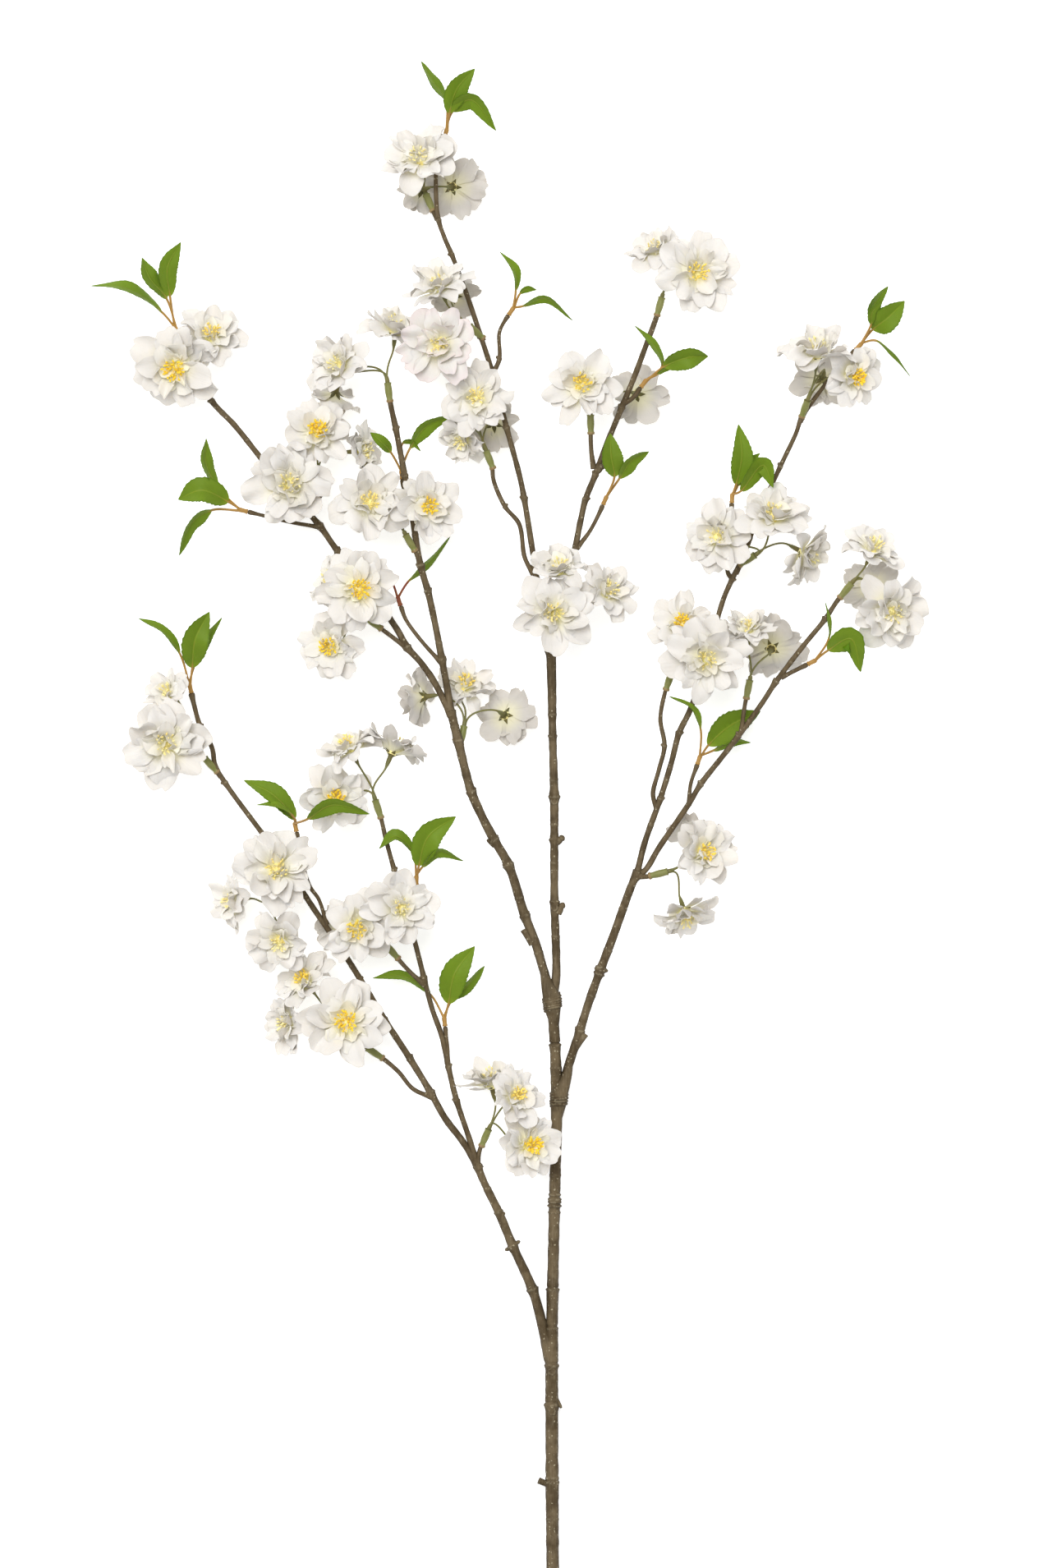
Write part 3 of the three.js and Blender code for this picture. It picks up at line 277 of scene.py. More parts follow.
sprigs = [
    [(532, 200, 34), (541, 168, 32),
     newLeaf((543, 123, 40), (526, 98, 46), (513, 75, 44), 55, widen=0.8),
     newLeaf((547, 138, 40), (557, 108, 48), (578, 84, 50), 15, widen=0.95),
     newLeaf((551, 136, 38), (574, 122, 48), (604, 159, 42), 35, widen=0.75, bright=0.3)],
    [(238, 452, 29), (218, 409, 29),
     newLeaf((197, 380, 34), (155, 352, 46), (111, 348, 36), 62, widen=0.55),
     newLeaf((203, 364, 36), (182, 338, 46), (173, 314, 44), 40, widen=0.9, bright=-0.2),
     newLeaf((207, 361, 34), (204, 326, 42), (220, 295, 42), 25, widen=0.85, bright=0.7)],
    [(322, 628, 31), (302, 623, 31),
     newLeaf((265, 593, 38), (251, 565, 42), (251, 534, 38), 50, widen=0.85),
     newLeaf((278, 611, 36), (246, 597, 46), (217, 608, 38), 15, widen=1.05, bright=-0.2),
     newLeaf((258, 621, 34), (233, 637, 36), (218, 676, 26), -50, widen=0.7)],
    [(236, 857, 30), (233, 844, 31),
     newLeaf((219, 796, 38), (198, 768, 44), (169, 753, 40), 50, widen=0.5),
     newLeaf((234, 813, 38), (238, 778, 48), (255, 745, 46), 10, bright=-0.5),
     newLeaf((236, 812, 34), (249, 781, 34), (270, 752, 30), 40, widen=0.5)],
    [(367, 1045, 32), (361, 1013, 33),
     newLeaf((359, 997, 40), (332, 967, 48), (297, 950, 42), 30, widen=0.75, bright=0.6),
     newLeaf((355, 992, 46), (336, 981, 54), (313, 980, 50), 60, widen=0.6, bright=0.8),
     newLeaf((375, 997, 60), (406, 980, 74), (450, 991, 70), 35, widen=0.6)],
    [(507, 1105, 38), (507, 1078, 39),
     newLeaf((503, 1038, 46), (482, 1018, 52), (462, 1033, 46), 40, widen=0.7),
     newLeaf((510, 1054, 48), (522, 1018, 58), (555, 994, 56), 10, widen=0.95, bright=0.6),
     newLeaf((514, 1056, 46), (534, 1037, 54), (564, 1048, 48), 50, widen=0.6)],
    [(545, 1277, 31), (542, 1250, 32),
     newLeaf((524, 1211, 27), (490, 1189, 25), (454, 1191, 24), 50, widen=0.55),
     newLeaf((546, 1222, 38), (554, 1185, 48), (578, 1152, 46), 5, widen=0.95, bright=0.3),
     newLeaf((550, 1218, 36), (572, 1197, 38), (590, 1176, 34), 45, widen=0.7)],
    [(491, 592, 38), (490, 584, 37),
     newLeaf((476, 551, 46), (464, 538, 56), (451, 527, 56), 20, widen=0.85),
     newLeaf((490, 540, 34), (500, 537, 34), (512, 549, 32), 40, widen=0.7),
     newLeaf((499, 546, 34), (518, 520, 36), (557, 503, 34), 40, widen=0.65)],
    [(615, 390, 40), (619, 384, 40),
     newLeaf((628, 354, 44), (627, 330, 48), (609, 307, 44), 50, widen=0.6),
     newLeaf((633, 358, 44), (642, 352, 46), (653, 353, 44), 30, widen=0.9),
     newLeaf((636, 373, 44), (664, 364, 50), (697, 390, 42), 50, widen=0.4)],
    [(771, 484, 47), (780, 472, 47),
     newLeaf((806, 446, 52), (795, 420, 60), (773, 397, 56), 50, widen=0.5),
     newLeaf((808, 447, 54), (836, 436, 60), (862, 434, 52), 20, widen=1.05),
     newLeaf((800, 456, 50), (810, 449, 52), (822, 447, 50), 50, widen=0.8)],
    [(730, 624, 44), (734, 615, 44),
     newLeaf((748, 581, 54), (744, 555, 60), (743, 528, 57), 20, widen=1.15, bright=-1),
     newLeaf((754, 583, 50), (768, 562, 56), (790, 550, 50), 40, widen=0.9, bright=-0.2)],
    [(1018, 452, 54), (1041, 427, 54),
     newLeaf((1061, 394, 60), (1064, 372, 64), (1081, 349, 60), 40, widen=0.9),
     newLeaf((1060, 396, 66), (1061, 382, 71), (1075, 365, 70), 35, widen=0.7),
     newLeaf((1062, 402, 60), (1080, 388, 66), (1101, 367, 62), 5, widen=1.3),
     newLeaf((1066, 415, 57), (1089, 433, 54), (1108, 458, 46), 70, widen=0.35)],
    [(889, 650, 47), (891, 613, 48),
     newLeaf((896, 590, 54), (903, 556, 60), (899, 517, 58), 20, widen=0.85, bright=0.6),
     newLeaf((898, 592, 50), (907, 567, 51), (925, 552, 49), 30, widen=0.8, bright=0.8),
     newLeaf((902, 598, 58), (929, 567, 70), (941, 594, 69), 30, widen=0.8, bright=0.3)],
    [(951, 825, 35), (983, 809, 36),
     newLeaf((1009, 778, 44), (1009, 756, 47), (1005, 734, 46), 65, widen=0.5),
     newLeaf((1008, 792, 44), (1036, 778, 54), (1048, 818, 42), 20, widen=0.9)],
    [(841, 955, 38), (849, 931, 40),
     newLeaf((853, 888, 54), (843, 863, 59), (815, 848, 56), 60, widen=0.5),
     newLeaf((862, 908, 37), (890, 883, 28), (926, 866, 25), 5, bright=-0.2),
     newLeaf((868, 914, 35), (892, 903, 28), (914, 904, 24), 45, widen=0.6)],
    [(494, 754, 39), (488, 738, 39),
     newLeaf((497, 708, 31), (524, 682, 26), (548, 653, 25), 60, widen=0.45),
     newLeaf((478, 710, 38), (466, 694, 40), (458, 674, 38), 40, widen=0.35)],
]


# Points and lines, all in millimetres.
def placed(place):
    x, y, height = place[:3]
    return np.array([(x - middlePixel[0]) * mmPerPixel, (middlePixel[1] - y) * mmPerPixel, height])


def unit(vector):
    return vector / max(np.linalg.norm(vector), 1e-9)


def smooth(value, low=0.0, high=1.0):
    share = np.clip((value - low) / (high - low), 0, 1)
    return share * share * (3 - 2 * share)


def hump(distance, width):
    return np.exp(-((distance / width) ** 2))


# A smooth line through the points. Place 0 is the first point, place 1 the second and so on.
def lineThrough(points, places):
    points = np.asarray(points, float)
    ends = np.vstack([2 * points[0] - points[1], points, 2 * points[-1] - points[-2]])
    spans = np.maximum(np.linalg.norm(np.diff(ends, axis=0), axis=1) ** 0.5, 1e-4)
    i = np.clip(np.floor(places).astype(int), 0, len(points) - 2)
    t = (places - i)[:, None]
    p0, p1, p2, p3 = (ends[i + k] for k in range(4))
    d0, d1, d2 = (spans[i + k][:, None] for k in range(3))
    out = ((p1 - p0) / d0 - (p2 - p0) / (d0 + d1) + (p2 - p1) / d1) * d1
    into = ((p2 - p1) / d1 - (p3 - p1) / (d1 + d2) + (p3 - p2) / d2) * d1
    return p1 + out * t + (3 * (p2 - p1) - 2 * out - into) * t**2 + (2 * (p1 - p2) + out + into) * t**3


def bezier(points, shares):
    t = shares[:, None]
    a, b, c, d = points
    return a * (1 - t) ** 3 + 3 * b * (1 - t) ** 2 * t + 3 * c * (1 - t) * t**2 + d * t**3


# How far each point is along its line.
def lengthsAlong(points):
    return np.concatenate([[0], np.cumsum(np.linalg.norm(np.diff(points, axis=0), axis=1))])


def headings(points):
    steps = np.gradient(points, axis=0)
    return steps / np.maximum(np.linalg.norm(steps, axis=1), 1e-9)[:, None]


def turnedAbout(vector, axis, angle):
    axis = unit(axis)
    turnedPart = vector * math.cos(angle) + np.cross(axis, vector) * math.sin(angle)
    return turnedPart + axis * (axis @ vector) * (1 - math.cos(angle))


# What would sink into the table lies down on it instead.
def laidDown(points, lowest, softness=2.0):
    bend = lowest + softness
    z = points[..., 2]
    soft = lowest + softness * np.exp(np.minimum(z - bend, 0) / softness)
    points[..., 2] = np.where(z < bend, soft, z)
    return points


# A closed body is a dict of points, faces and marks, which are numbers for its material.
def bodyOf(points, faces, marks):
    points = np.asarray(points, float).reshape(-1, 3)
    full = {name: np.broadcast_to(np.asarray(value, float), len(points)) for name, value in marks.items()}
    return dict(points=points, faces=faces, marks=full)


def anglesRound(sides):
    return np.arange(sides) * 2 * np.pi / sides


# Rings of points joined in order and closed at both ends, with one mark for all or one a ring.
def ringBody(rings, ends, marks):
    count, sides = rings.shape[:2]
    faces = []
    for i in range(count - 1):
        for k in range(sides):
            n = (k + 1) % sides
            faces.append((i * sides + k, i * sides + n, (i + 1) * sides + n, (i + 1) * sides + k))
    last = (count - 1) * sides
    for k in range(sides):
        n = (k + 1) % sides
        faces.append((count * sides, n, k))
        faces.append((count * sides + 1, last + k, last + n))
    full = {}
    for name, value in marks.items():
        value = np.asarray(value, float)
        full[name] = np.concatenate([np.repeat(value, sides), value[:1], value[-1:]]) if value.ndim else value
    return bodyOf(np.vstack([rings.reshape(-1, 3), *ends]), faces, full)


# A round body along a line, with one radius, or one for each ring or each point of each ring.
def tube(points, radii, sides, startDome=0.0, endDome=0.0, **marks):
    radii = np.asarray(radii, float)
    radii = np.broadcast_to(radii if radii.ndim == 2 else radii.reshape(-1, 1), (len(points), sides))
    along = headings(points)
    across = unit(np.cross(along[0], aslant))
    angles = anglesRound(sides)
    rings = []
    for middle, radius, heading in zip(points, radii, along):
        across = unit(across - heading * (heading @ across))
        ring = np.outer(np.cos(angles), across) + np.outer(np.sin(angles), np.cross(heading, across))
        rings.append(middle + radius[:, None] * ring)
    ends = points[0] - along[0] * startDome, points[-1] + along[-1] * endDome
    return ringBody(np.array(rings), ends, marks)


# A turned body: rows of (distance along the axis, radius), which may run back in as a hollow.
def turned(origin, axis, profile, sides, flutes=0, fluteDepth=0.0, **marks):
    distances, radii = np.asarray(profile, float).T
    across = unit(np.cross(axis, aslant))
    angles = anglesRound(sides)
    depth = np.broadcast_to(fluteDepth, len(radii))
    radii = radii[:, None] * (1 + depth[:, None] * np.cos(flutes * angles))
    ring = np.outer(np.cos(angles), across) + np.outer(np.sin(angles), np.cross(axis, across))
    middles = origin + np.outer(distances, axis)
    return ringBody(middles[:, None, :] + radii[..., None] * ring, middles[[0, -1]], marks)


sheetFaces = {}  # kept by size, because most sheets share theirs


def facesOfSheet(rows, columns):
    if (rows, columns) not in sheetFaces:
        def at(r, c, under):
            return under * rows * columns + r * columns + c
        faces = []
        for r in range(rows - 1):
            for c in range(columns - 1):
                corners = [(r, c), (r, c + 1), (r + 1, c + 1), (r + 1, c)]
                faces.append(tuple(at(a, b, 0) for a, b in corners))
                # the same diagonal below as above, so that neither side shows through the other
                faces.append(tuple(at(a, b, 1) for a, b in corners[:1] + corners[:0:-1]))
        rim = [(0, c) for c in range(columns)]
        rim += [(r, columns - 1) for r in range(1, rows)]
        rim += [(rows - 1, c) for c in range(columns - 2, -1, -1)]
        rim += [(r, 0) for r in range(rows - 2, 0, -1)]
        for (a, b), (c, d) in zip(rim, rim[1:] + rim[:1]):
            faces.append((at(a, b, 1), at(c, d, 1), at(c, d, 0), at(a, b, 0)))
        sheetFaces[rows, columns] = faces
    return sheetFaces[rows, columns]


# A thin closed sheet round a grid of points. Marks are given over the grid.
def sheet(grid, thickness, **marks):
    rows, columns = grid.shape[:2]
    grid = laidDown(grid.copy(), 0.15 + thickness / 2)  # a little air between cloth and table
    out = np.cross(np.gradient(grid, axis=1), np.gradient(grid, axis=0))
    out /= np.maximum(np.linalg.norm(out, axis=2), 1e-9)[..., None]
    half = 0.5 * thickness * out
    points = np.concatenate([grid + half, grid - half])
    full = {
        name: np.tile(np.broadcast_to(np.asarray(value, float), (rows, columns)).ravel(), 2)
        for name, value in marks.items()
    }
    full["under"] = np.repeat([0.0, 1.0], rows * columns)
    return bodyOf(points, facesOfSheet(rows, columns), full)


# One mesh object from closed bodies, in metres, with its material.
def makeObject(name, bodies, material, sharpFrom=50):
    points = np.concatenate([body["points"] for body in bodies]) * 0.001
    faces = []
    first = 0
    for body in bodies:
        faces += [tuple(first + corner for corner in face) for face in body["faces"]]
        first += len(body["points"])
    mesh = bpy.data.meshes.new(name)
    mesh.from_pydata(points.tolist(), [], faces)
    for mark in sorted({mark for body in bodies for mark in body["marks"]}):
        values = [body["marks"].get(mark, np.zeros(len(body["points"]))) for body in bodies]
        layer = mesh.attributes.new(mark, "FLOAT", "POINT")
        layer.data.foreach_set("value", np.concatenate(values).astype(np.float32))
    mesh.polygons.foreach_set("use_smooth", [True] * len(mesh.polygons))
    mesh.set_sharp_from_angle(angle=math.radians(sharpFrom))
    mesh.materials.append(material)
    made = bpy.data.objects.new(name, mesh)
    bpy.context.scene.collection.objects.link(made)
    return made


def finishPiece(piece, node):
    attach(piece, "root")
    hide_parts(node)
    return len(piece.data.polygons)


# Materials. A value is a number, a colour or the output of a node, which also tells the tree.
def addNode(tree, kind, inputs=None, **settings):
    node = tree.nodes.new(kind)
    for key, value in settings.items():
        setattr(node, key, value)
    for label, value in (inputs or {}).items():
        socket = node.inputs[label]
        if isinstance(value, bpy.types.NodeSocket):
            tree.links.new(value, socket)
        else:
            socket.default_value = (*value, 1) if socket.type == "RGBA" else value
    return node


def treeOf(values):
    return next(value.id_data for value in values if isinstance(value, bpy.types.NodeSocket))


def mixed(share, one, other):
    inputs = {0: share, 6: one, 7: other}
    node = addNode(treeOf(inputs.values()), "ShaderNodeMix", inputs, data_type="RGBA", clamp_factor=True)
    return node.outputs[2]


def calculated(operation, *values):
    return addNode(treeOf(values), "ShaderNodeMath", dict(enumerate(values)), operation=operation).outputs[0]


def times(one, other):
    return calculated("MULTIPLY", one, other)


def plus(one, other):
    return calculated("ADD", one, other)


def ranged(value, fromMin, fromMax, toMin=0.0, toMax=1.0):
    inputs = {"Value": value, "From Min": fromMin, "From Max": fromMax, "To Min": toMin, "To Max": toMax}
    return addNode(value.id_data, "ShaderNodeMapRange", inputs, interpolation_type="SMOOTHSTEP").outputs[0]


def noiseAt(place, scale, detail, output="Fac"):
    inputs = {"Vector": place, "Scale": scale, "Detail": detail}
    return addNode(place.id_data, "ShaderNodeTexNoise", inputs).outputs[output]


def objectPlace(tree, output="Object"):
    return addNode(tree, "ShaderNodeTexCoord").outputs[output]


def marksOf(tree, *names):
    return [
        addNode(tree, "ShaderNodeAttribute", attribute_name=name, attribute_type="GEOMETRY").outputs["Fac"]
        for name in names
    ]


def joined(value, socket):
    value.id_data.links.new(value, socket)


def newGroup(name, inputs, outputs):
    group = bpy.data.node_groups.new(name, "ShaderNodeTree")
    for label, default in inputs.items():
        socket = group.interface.new_socket(label, in_out="INPUT", socket_type="NodeSocketFloat")
        socket.default_value = default
    for label in outputs:
        group.interface.new_socket(label, in_out="OUTPUT", socket_type="NodeSocketFloat")
    given, out = group.nodes.new("NodeGroupInput"), group.nodes.new("NodeGroupOutput")
    return group, given.outputs, out.inputs


# Threads of the cloth that petals and leaves are cut from, as a height and a slight shade.
def buildClothWeave():
    tree, given, out = newGroup("clothWeave", dict(Thread=0.0004, Slub=0.3), ("Height", "Shade"))
    place = objectPlace(tree)
    inputs = {"Vector": place, "Scale": calculated("DIVIDE", 0.3, given["Thread"]), "Distortion": 0.6}
    warp, weft = (
        addNode(tree, "ShaderNodeTexWave", inputs, bands_direction=way).outputs["Fac"] for way in ("X", "Y")
    )
    slubs = times(noiseAt(place, 900.0, 2.0), given["Slub"])
    height = plus(calculated("MAXIMUM", warp, weft), slubs)
    joined(height, out["Height"])
    joined(ranged(height, 0.2, 1.2), out["Shade"])
    return tree


# Uneven colour in soft patches, with finer specks on them.
def buildMottle():
    tree, given, out = newGroup("mottle", dict(Patch=0.02, Speck=0.002), ("Patches", "Specks", "Height"))
    place = objectPlace(tree)
    patches = noiseAt(place, calculated("DIVIDE", 1.0, given["Patch"]), 3.0)
    fine = noiseAt(place, calculated("DIVIDE", 1.0, given["Speck"]), 2.0)
    joined(ranged(patches, 0.35, 0.65), out["Patches"])
    # Specks are uneven dots of many sizes, in the cells of a cell pattern.
    bending = {0: noiseAt(place, 900.0, 1.0, "Color"), 1: (0.0016, 0.0016, 0.0016), 2: place}
    bent = addNode(tree, "ShaderNodeVectorMath", bending, operation="MULTIPLY_ADD").outputs[0]
    cellScale = calculated("DIVIDE", 0.6, given["Speck"])
    cells = addNode(tree, "ShaderNodeTexVoronoi", {"Vector": bent, "Scale": cellScale}).outputs
    chance = addNode(tree, "ShaderNodeSeparateColor", {"Color": cells["Color"]}).outputs[0]
    inside = calculated("SUBTRACT", ranged(chance, 0.55, 1.0, 0.0, 0.42), cells["Distance"])
    joined(ranged(inside, 0.0, 0.2), out["Specks"])
    joined(plus(patches, fine), out["Height"])
    return tree


clothWeave = buildClothWeave()
mottle = buildMottle()


def placedGroup(tree, group, values):
    return addNode(tree, "ShaderNodeGroup", values, node_tree=group).outputs


def newMaterial(name, constants):
    material = bpy.data.materials.new(name)
    material.use_nodes = True
    shader = material.node_tree.nodes["Principled BSDF"].inputs
    for label, value in constants.items():
        shader[label].default_value = value
    return material, material.node_tree, shader


def finishMaterial(shader, colour, patches, roughness, height, strength, depth):
    joined(colour, shader["Base Color"])
    joined(ranged(patches, 0.0, 1.0, *roughness), shader["Roughness"])
    relief = {"Height": height, "Strength": strength, "Distance": depth}
    bump = addNode(height.id_data, "ShaderNodeBump", relief)
    joined(bump.outputs["Normal"], shader["Normal"])


# Petal colours: back and rim are partly painted shade, creaseShade is painted shade, and glow and warmGlow
# are painted light.
petalFinish = dict(
    white=(0.82, 0.79, 0.75), shade=(0.74, 0.705, 0.66), cream=(0.90, 0.86, 0.62), foot=(0.95, 0.90, 0.42),
    back=(0.60, 0.57, 0.53), blush=(0.80, 0.67, 0.68), rim=(0.64, 0.61, 0.57), thread=(0.5, 0.5, 0.5),
    creases=5.0, creaseLength=1.6, creaseShade=0.15, rimShade=0.3, threadShade=0.03, glow=0.36, warmGlow=0.42,
    roughness=(0.68, 0.82), relief=0.3, reliefDepth=0.0012,
)


def buildPetalMaterial():
    look = petalFinish
    material, tree, shader = newMaterial("petalCloth", {
        "Sheen Weight": 0.1, "Subsurface Weight": 0.35, "Subsurface Radius": (1.0, 0.92, 0.8),
        "Subsurface Scale": 0.0004, "Specular IOR Level": 0.2, "Emission Strength": look["glow"],
    })
    along, across, rim, warm = marksOf(tree, "along", "across", "rim", "warm")
    under, tone, pink = marksOf(tree, "under", "tone", "pink")
    patches = placedGroup(tree, mottle, {"Patch": 0.012, "Speck": 0.003})["Patches"]
    weave = placedGroup(tree, clothWeave, {"Thread": 0.0004, "Slub": 0.4})
    # Creases run from the foot to the rim, different on each petal.
    drawn = times(across, look["creases"]), times(along, look["creaseLength"]), times(tone, 90.0)
    place = addNode(tree, "ShaderNodeCombineXYZ", dict(zip("XYZ", drawn))).outputs[0]
    creases = noiseAt(place, 1.6, 4.0)
    # Painted shade: the petal darkens along its creases, on top of its own uneven tone.
    toneAndCreaseShade = plus(plus(times(patches, 0.3), tone), ranged(creases, 0.5, 0.75, 0.0, look["creaseShade"]))
    colour = mixed(toneAndCreaseShade, look["white"], look["shade"])
    # The undersides are darker: partly the duller back of the cloth, partly painted shade.
    colour = mixed(under, colour, look["back"])
    colour = mixed(times(warm, 0.7), colour, look["cream"])
    nearFoot = times(ranged(along, 0.68, 0.05), ranged(warm, 0.0, 0.5, 0.3, 1.0))
    colour = mixed(nearFoot, colour, look["foot"])
    # Painted light: the petal feet and the inner petals glow, in place of light that comes through the cloth
    # into the bloom's cup.
    glow = calculated("MAXIMUM", nearFoot, times(warm, look["warmGlow"]))
    joined(mixed(glow, (0.0, 0.0, 0.0), look["foot"]), shader["Emission Color"])
    colour = mixed(times(pink, ranged(along, 0.7, 1.0, 0.0, 0.5)), colour, look["blush"])
    # The rims are greyer: partly the frayed edge of the cloth, partly painted shade.
    colour = mixed(times(rim, look["rimShade"]), colour, look["rim"])
    colour = mixed(times(weave["Shade"], look["threadShade"]), colour, look["thread"])
    height = plus(times(weave["Height"], 0.06), creases)
    finishMaterial(shader, colour, patches, look["roughness"], height, look["relief"], look["reliefDepth"])
    return material


leafFinish = dict(
    green=(0.130, 0.262, 0.002), deep=(0.042, 0.108, 0.001), back=(0.17, 0.25, 0.02), vein=(0.26, 0.34, 0.02),
    backShare=0.75, veins=11.0, veinSlant=2.2, sideVein=0.13, veinShade=0.5, rimShade=0.4, footShade=0.6,
    roughness=(0.42, 0.58), relief=0.5, reliefDepth=0.0004,
)


def buildLeafMaterial():
    look = leafFinish
    material, tree, shader = newMaterial("leafCloth", {
        "Subsurface Weight": 0.1, "Subsurface Radius": (0.6, 1.0, 0.2), "Subsurface Scale": 0.001,
        "Specular IOR Level": 0.12,
    })
    along, across, under, tone = marksOf(tree, "along", "across", "under", "tone")
    patches = placedGroup(tree, mottle, {"Patch": 0.015, "Speck": 0.0015})["Patches"]
    weave = placedGroup(tree, clothWeave, {"Thread": 0.0005, "Slub": 0.6})
    colour = mixed(plus(times(patches, 0.4), tone), look["green"], look["deep"])
    colour = mixed(times(under, look["backShare"]), colour, look["back"])
    aside = calculated("ABSOLUTE", across)
    slant = calculated("SUBTRACT", times(along, look["veins"]), times(aside, look["veinSlant"]))
    fromVein = calculated("ABSOLUTE", calculated("SUBTRACT", calculated("FRACT", slant), 0.5))
    sideVein = times(ranged(fromVein, 0.1, 0.02), look["sideVein"])
    veins = calculated("MAXIMUM", ranged(aside, 0.09, 0.02), sideVein)
    colour = mixed(times(veins, look["veinShade"]), colour, look["vein"])
    colour = mixed(ranged(aside, 0.8, 1.0, 0.0, look["rimShade"]), colour, look["deep"])
    colour = mixed(ranged(along, 0.16, 0.0, 0.0, look["footShade"]), colour, look["vein"])
    height = plus(times(weave["Height"], 0.2), veins)
    finishMaterial(shader, colour, patches, look["roughness"], height, look["relief"], look["reliefDepth"])
    return material


# The darkest colour serves both the dark streaks and the painted shade on the sides and underside.
barkFinish = dict(
    brown=(0.155, 0.114, 0.062), dark=(0.085, 0.059, 0.029), pale=(0.46, 0.40, 0.27),
    streakAndSideShade=(0.026, 0.017, 0.009), twig=(0.126, 0.088, 0.046), twigShare=0.6, streaks=(900.0, 120.0, 900.0),
    paleStreaks=0.1, darkStreaks=0.25, specks=0.75, worn=0.4, sideShade=0.55, roughness=(0.5, 0.75),
    relief=0.5, reliefDepth=0.0004,
)


def buildBarkMaterial():
    look = barkFinish
    material, tree, shader = newMaterial("mouldedBark", {"Specular IOR Level": 0.15})
    slender, worn = marksOf(tree, "slender", "worn")
    spots = placedGroup(tree, mottle, {"Patch": 0.012, "Speck": 0.0012})
    grain = placedGroup(tree, mottle, {"Patch": 0.003, "Speck": 0.0007})
    # Streaks run up the stems.
    drawing = {0: objectPlace(tree), 1: look["streaks"]}
    drawnOut = addNode(tree, "ShaderNodeVectorMath", drawing, operation="MULTIPLY").outputs[0]
    streaks = noiseAt(drawnOut, 1.0, 2.0)
    colour = mixed(spots["Patches"], look["brown"], look["dark"])
    colour = mixed(times(slender, look["twigShare"]), colour, look["twig"])
    colour = mixed(ranged(streaks, 0.5, 0.75, 0.0, look["paleStreaks"]), colour, look["pale"])
    colour = mixed(ranged(streaks, 0.48, 0.28, 0.0, look["darkStreaks"]), colour, look["streakAndSideShade"])
    colour = mixed(times(spots["Specks"], look["specks"]), colour, look["pale"])
    brushed = times(worn, ranged(grain["Patches"], 0.3, 0.9))
    colour = mixed(times(brushed, look["worn"]), colour, look["pale"])
    # Painted shade: the sides and the underside are darker than the top, as though lit from above.
    upwards = addNode(tree, "ShaderNodeSeparateXYZ", {"Vector": objectPlace(tree, "Normal")}).outputs["Z"]
    colour = mixed(ranged(upwards, 0.98, 0.2, 0.0, look["sideShade"]), colour, look["streakAndSideShade"])
    height = plus(grain["Height"], plus(spots["Specks"], streaks))
    patches = grain["Patches"]
    finishMaterial(shader, colour, patches, look["roughness"], height, look["relief"], look["reliefDepth"])
    return material


# Moulded plastic, for each kind of piece: colours at its start, at its end, of specks and of a
# tint, and its roughness.
mouldedFinish = dict(
    mouldedSocket=((0.27, 0.17, 0.07), (0.20, 0.21, 0.055), (0.30, 0.28, 0.12), (0.3, 0.3, 0.1), 0.5),
    mouldedCalyx=((0.16, 0.16, 0.05), (0.10, 0.092, 0.022), (0.25, 0.19, 0.06), (0.3, 0.3, 0.1), 0.55),
    mouldedPetiole=((0.42, 0.23, 0.05), (0.17, 0.27, 0.012), (0.30, 0.15, 0.03), (0.24, 0.045, 0.02), 0.5),
    stamens=((0.96, 0.92, 0.42), (1.0, 0.72, 0.05), (0.98, 0.60, 0.03), (0.97, 0.92, 0.50), 0.6),
)


def buildMouldedMaterial(name, start, end, speck, tint, roughness):
    material, tree, shader = newMaterial(name, {"Specular IOR Level": 0.4})
    along, tinted = marksOf(tree, "along", "tint")
    spots = placedGroup(tree, mottle, {"Patch": 0.006, "Speck": 0.0011})
    colour = mixed(tinted, mixed(ranged(along, 0.0, 1.0), start, end), tint)
    colour = mixed(times(spots["Patches"], 0.3), colour, speck)
    colour = mixed(times(spots["Specks"], 0.35), colour, speck)
    limits = roughness - 0.08, roughness + 0.1
    finishMaterial(shader, colour, spots["Patches"], limits, spots["Height"], 0.3, 0.0002)
    return material


petalMaterial = buildPetalMaterial()
leafMaterial = buildLeafMaterial()
barkMaterial = buildBarkMaterial()
moulded = {name: buildMouldedMaterial(name, *finish) for name, finish in mouldedFinish.items()}
print("materials built")

# Bark: each arm is a tube with soft knots, each with a raised lip and a groove below it. Where a
# branch is let into the main stem, both swell into one joint with a thread wound round it.
barkLook = dict(
    step=1.8, knotSteps=(-1.8, -1, -0.5, 0, 0.45, 0.9, 1.4, 2.2), closest=0.2, sides=(18, 12),
    thinArm=2.1, slender=2.6,  # radii
    knotReach=3.4, knotSwell=1.5, lip=0.38, lipWidth=0.85, groove=0.3, grooveAt=1.6, grooveWidth=0.6,
    ringNear=2.5, ringSwell=1.02, collarFrom=1.12, collar=0.4, collarReach=2.4,
    footFlare=0.35, footReach=6, endFlare=0.4, endReach=5,
    lumps=0.09, lumpSize=0.16, fineLump=0.35, fineLumpSize=0.5, flutes=3, fluting=0.03, fluteTwist=0.03,
    socketLength=14.0, intoSocket=0.5,
)
budLook = dict(thickestArm=3.5, fromEnds=4, lean=0.5, rise=0.35, height=1.5, sides=7)
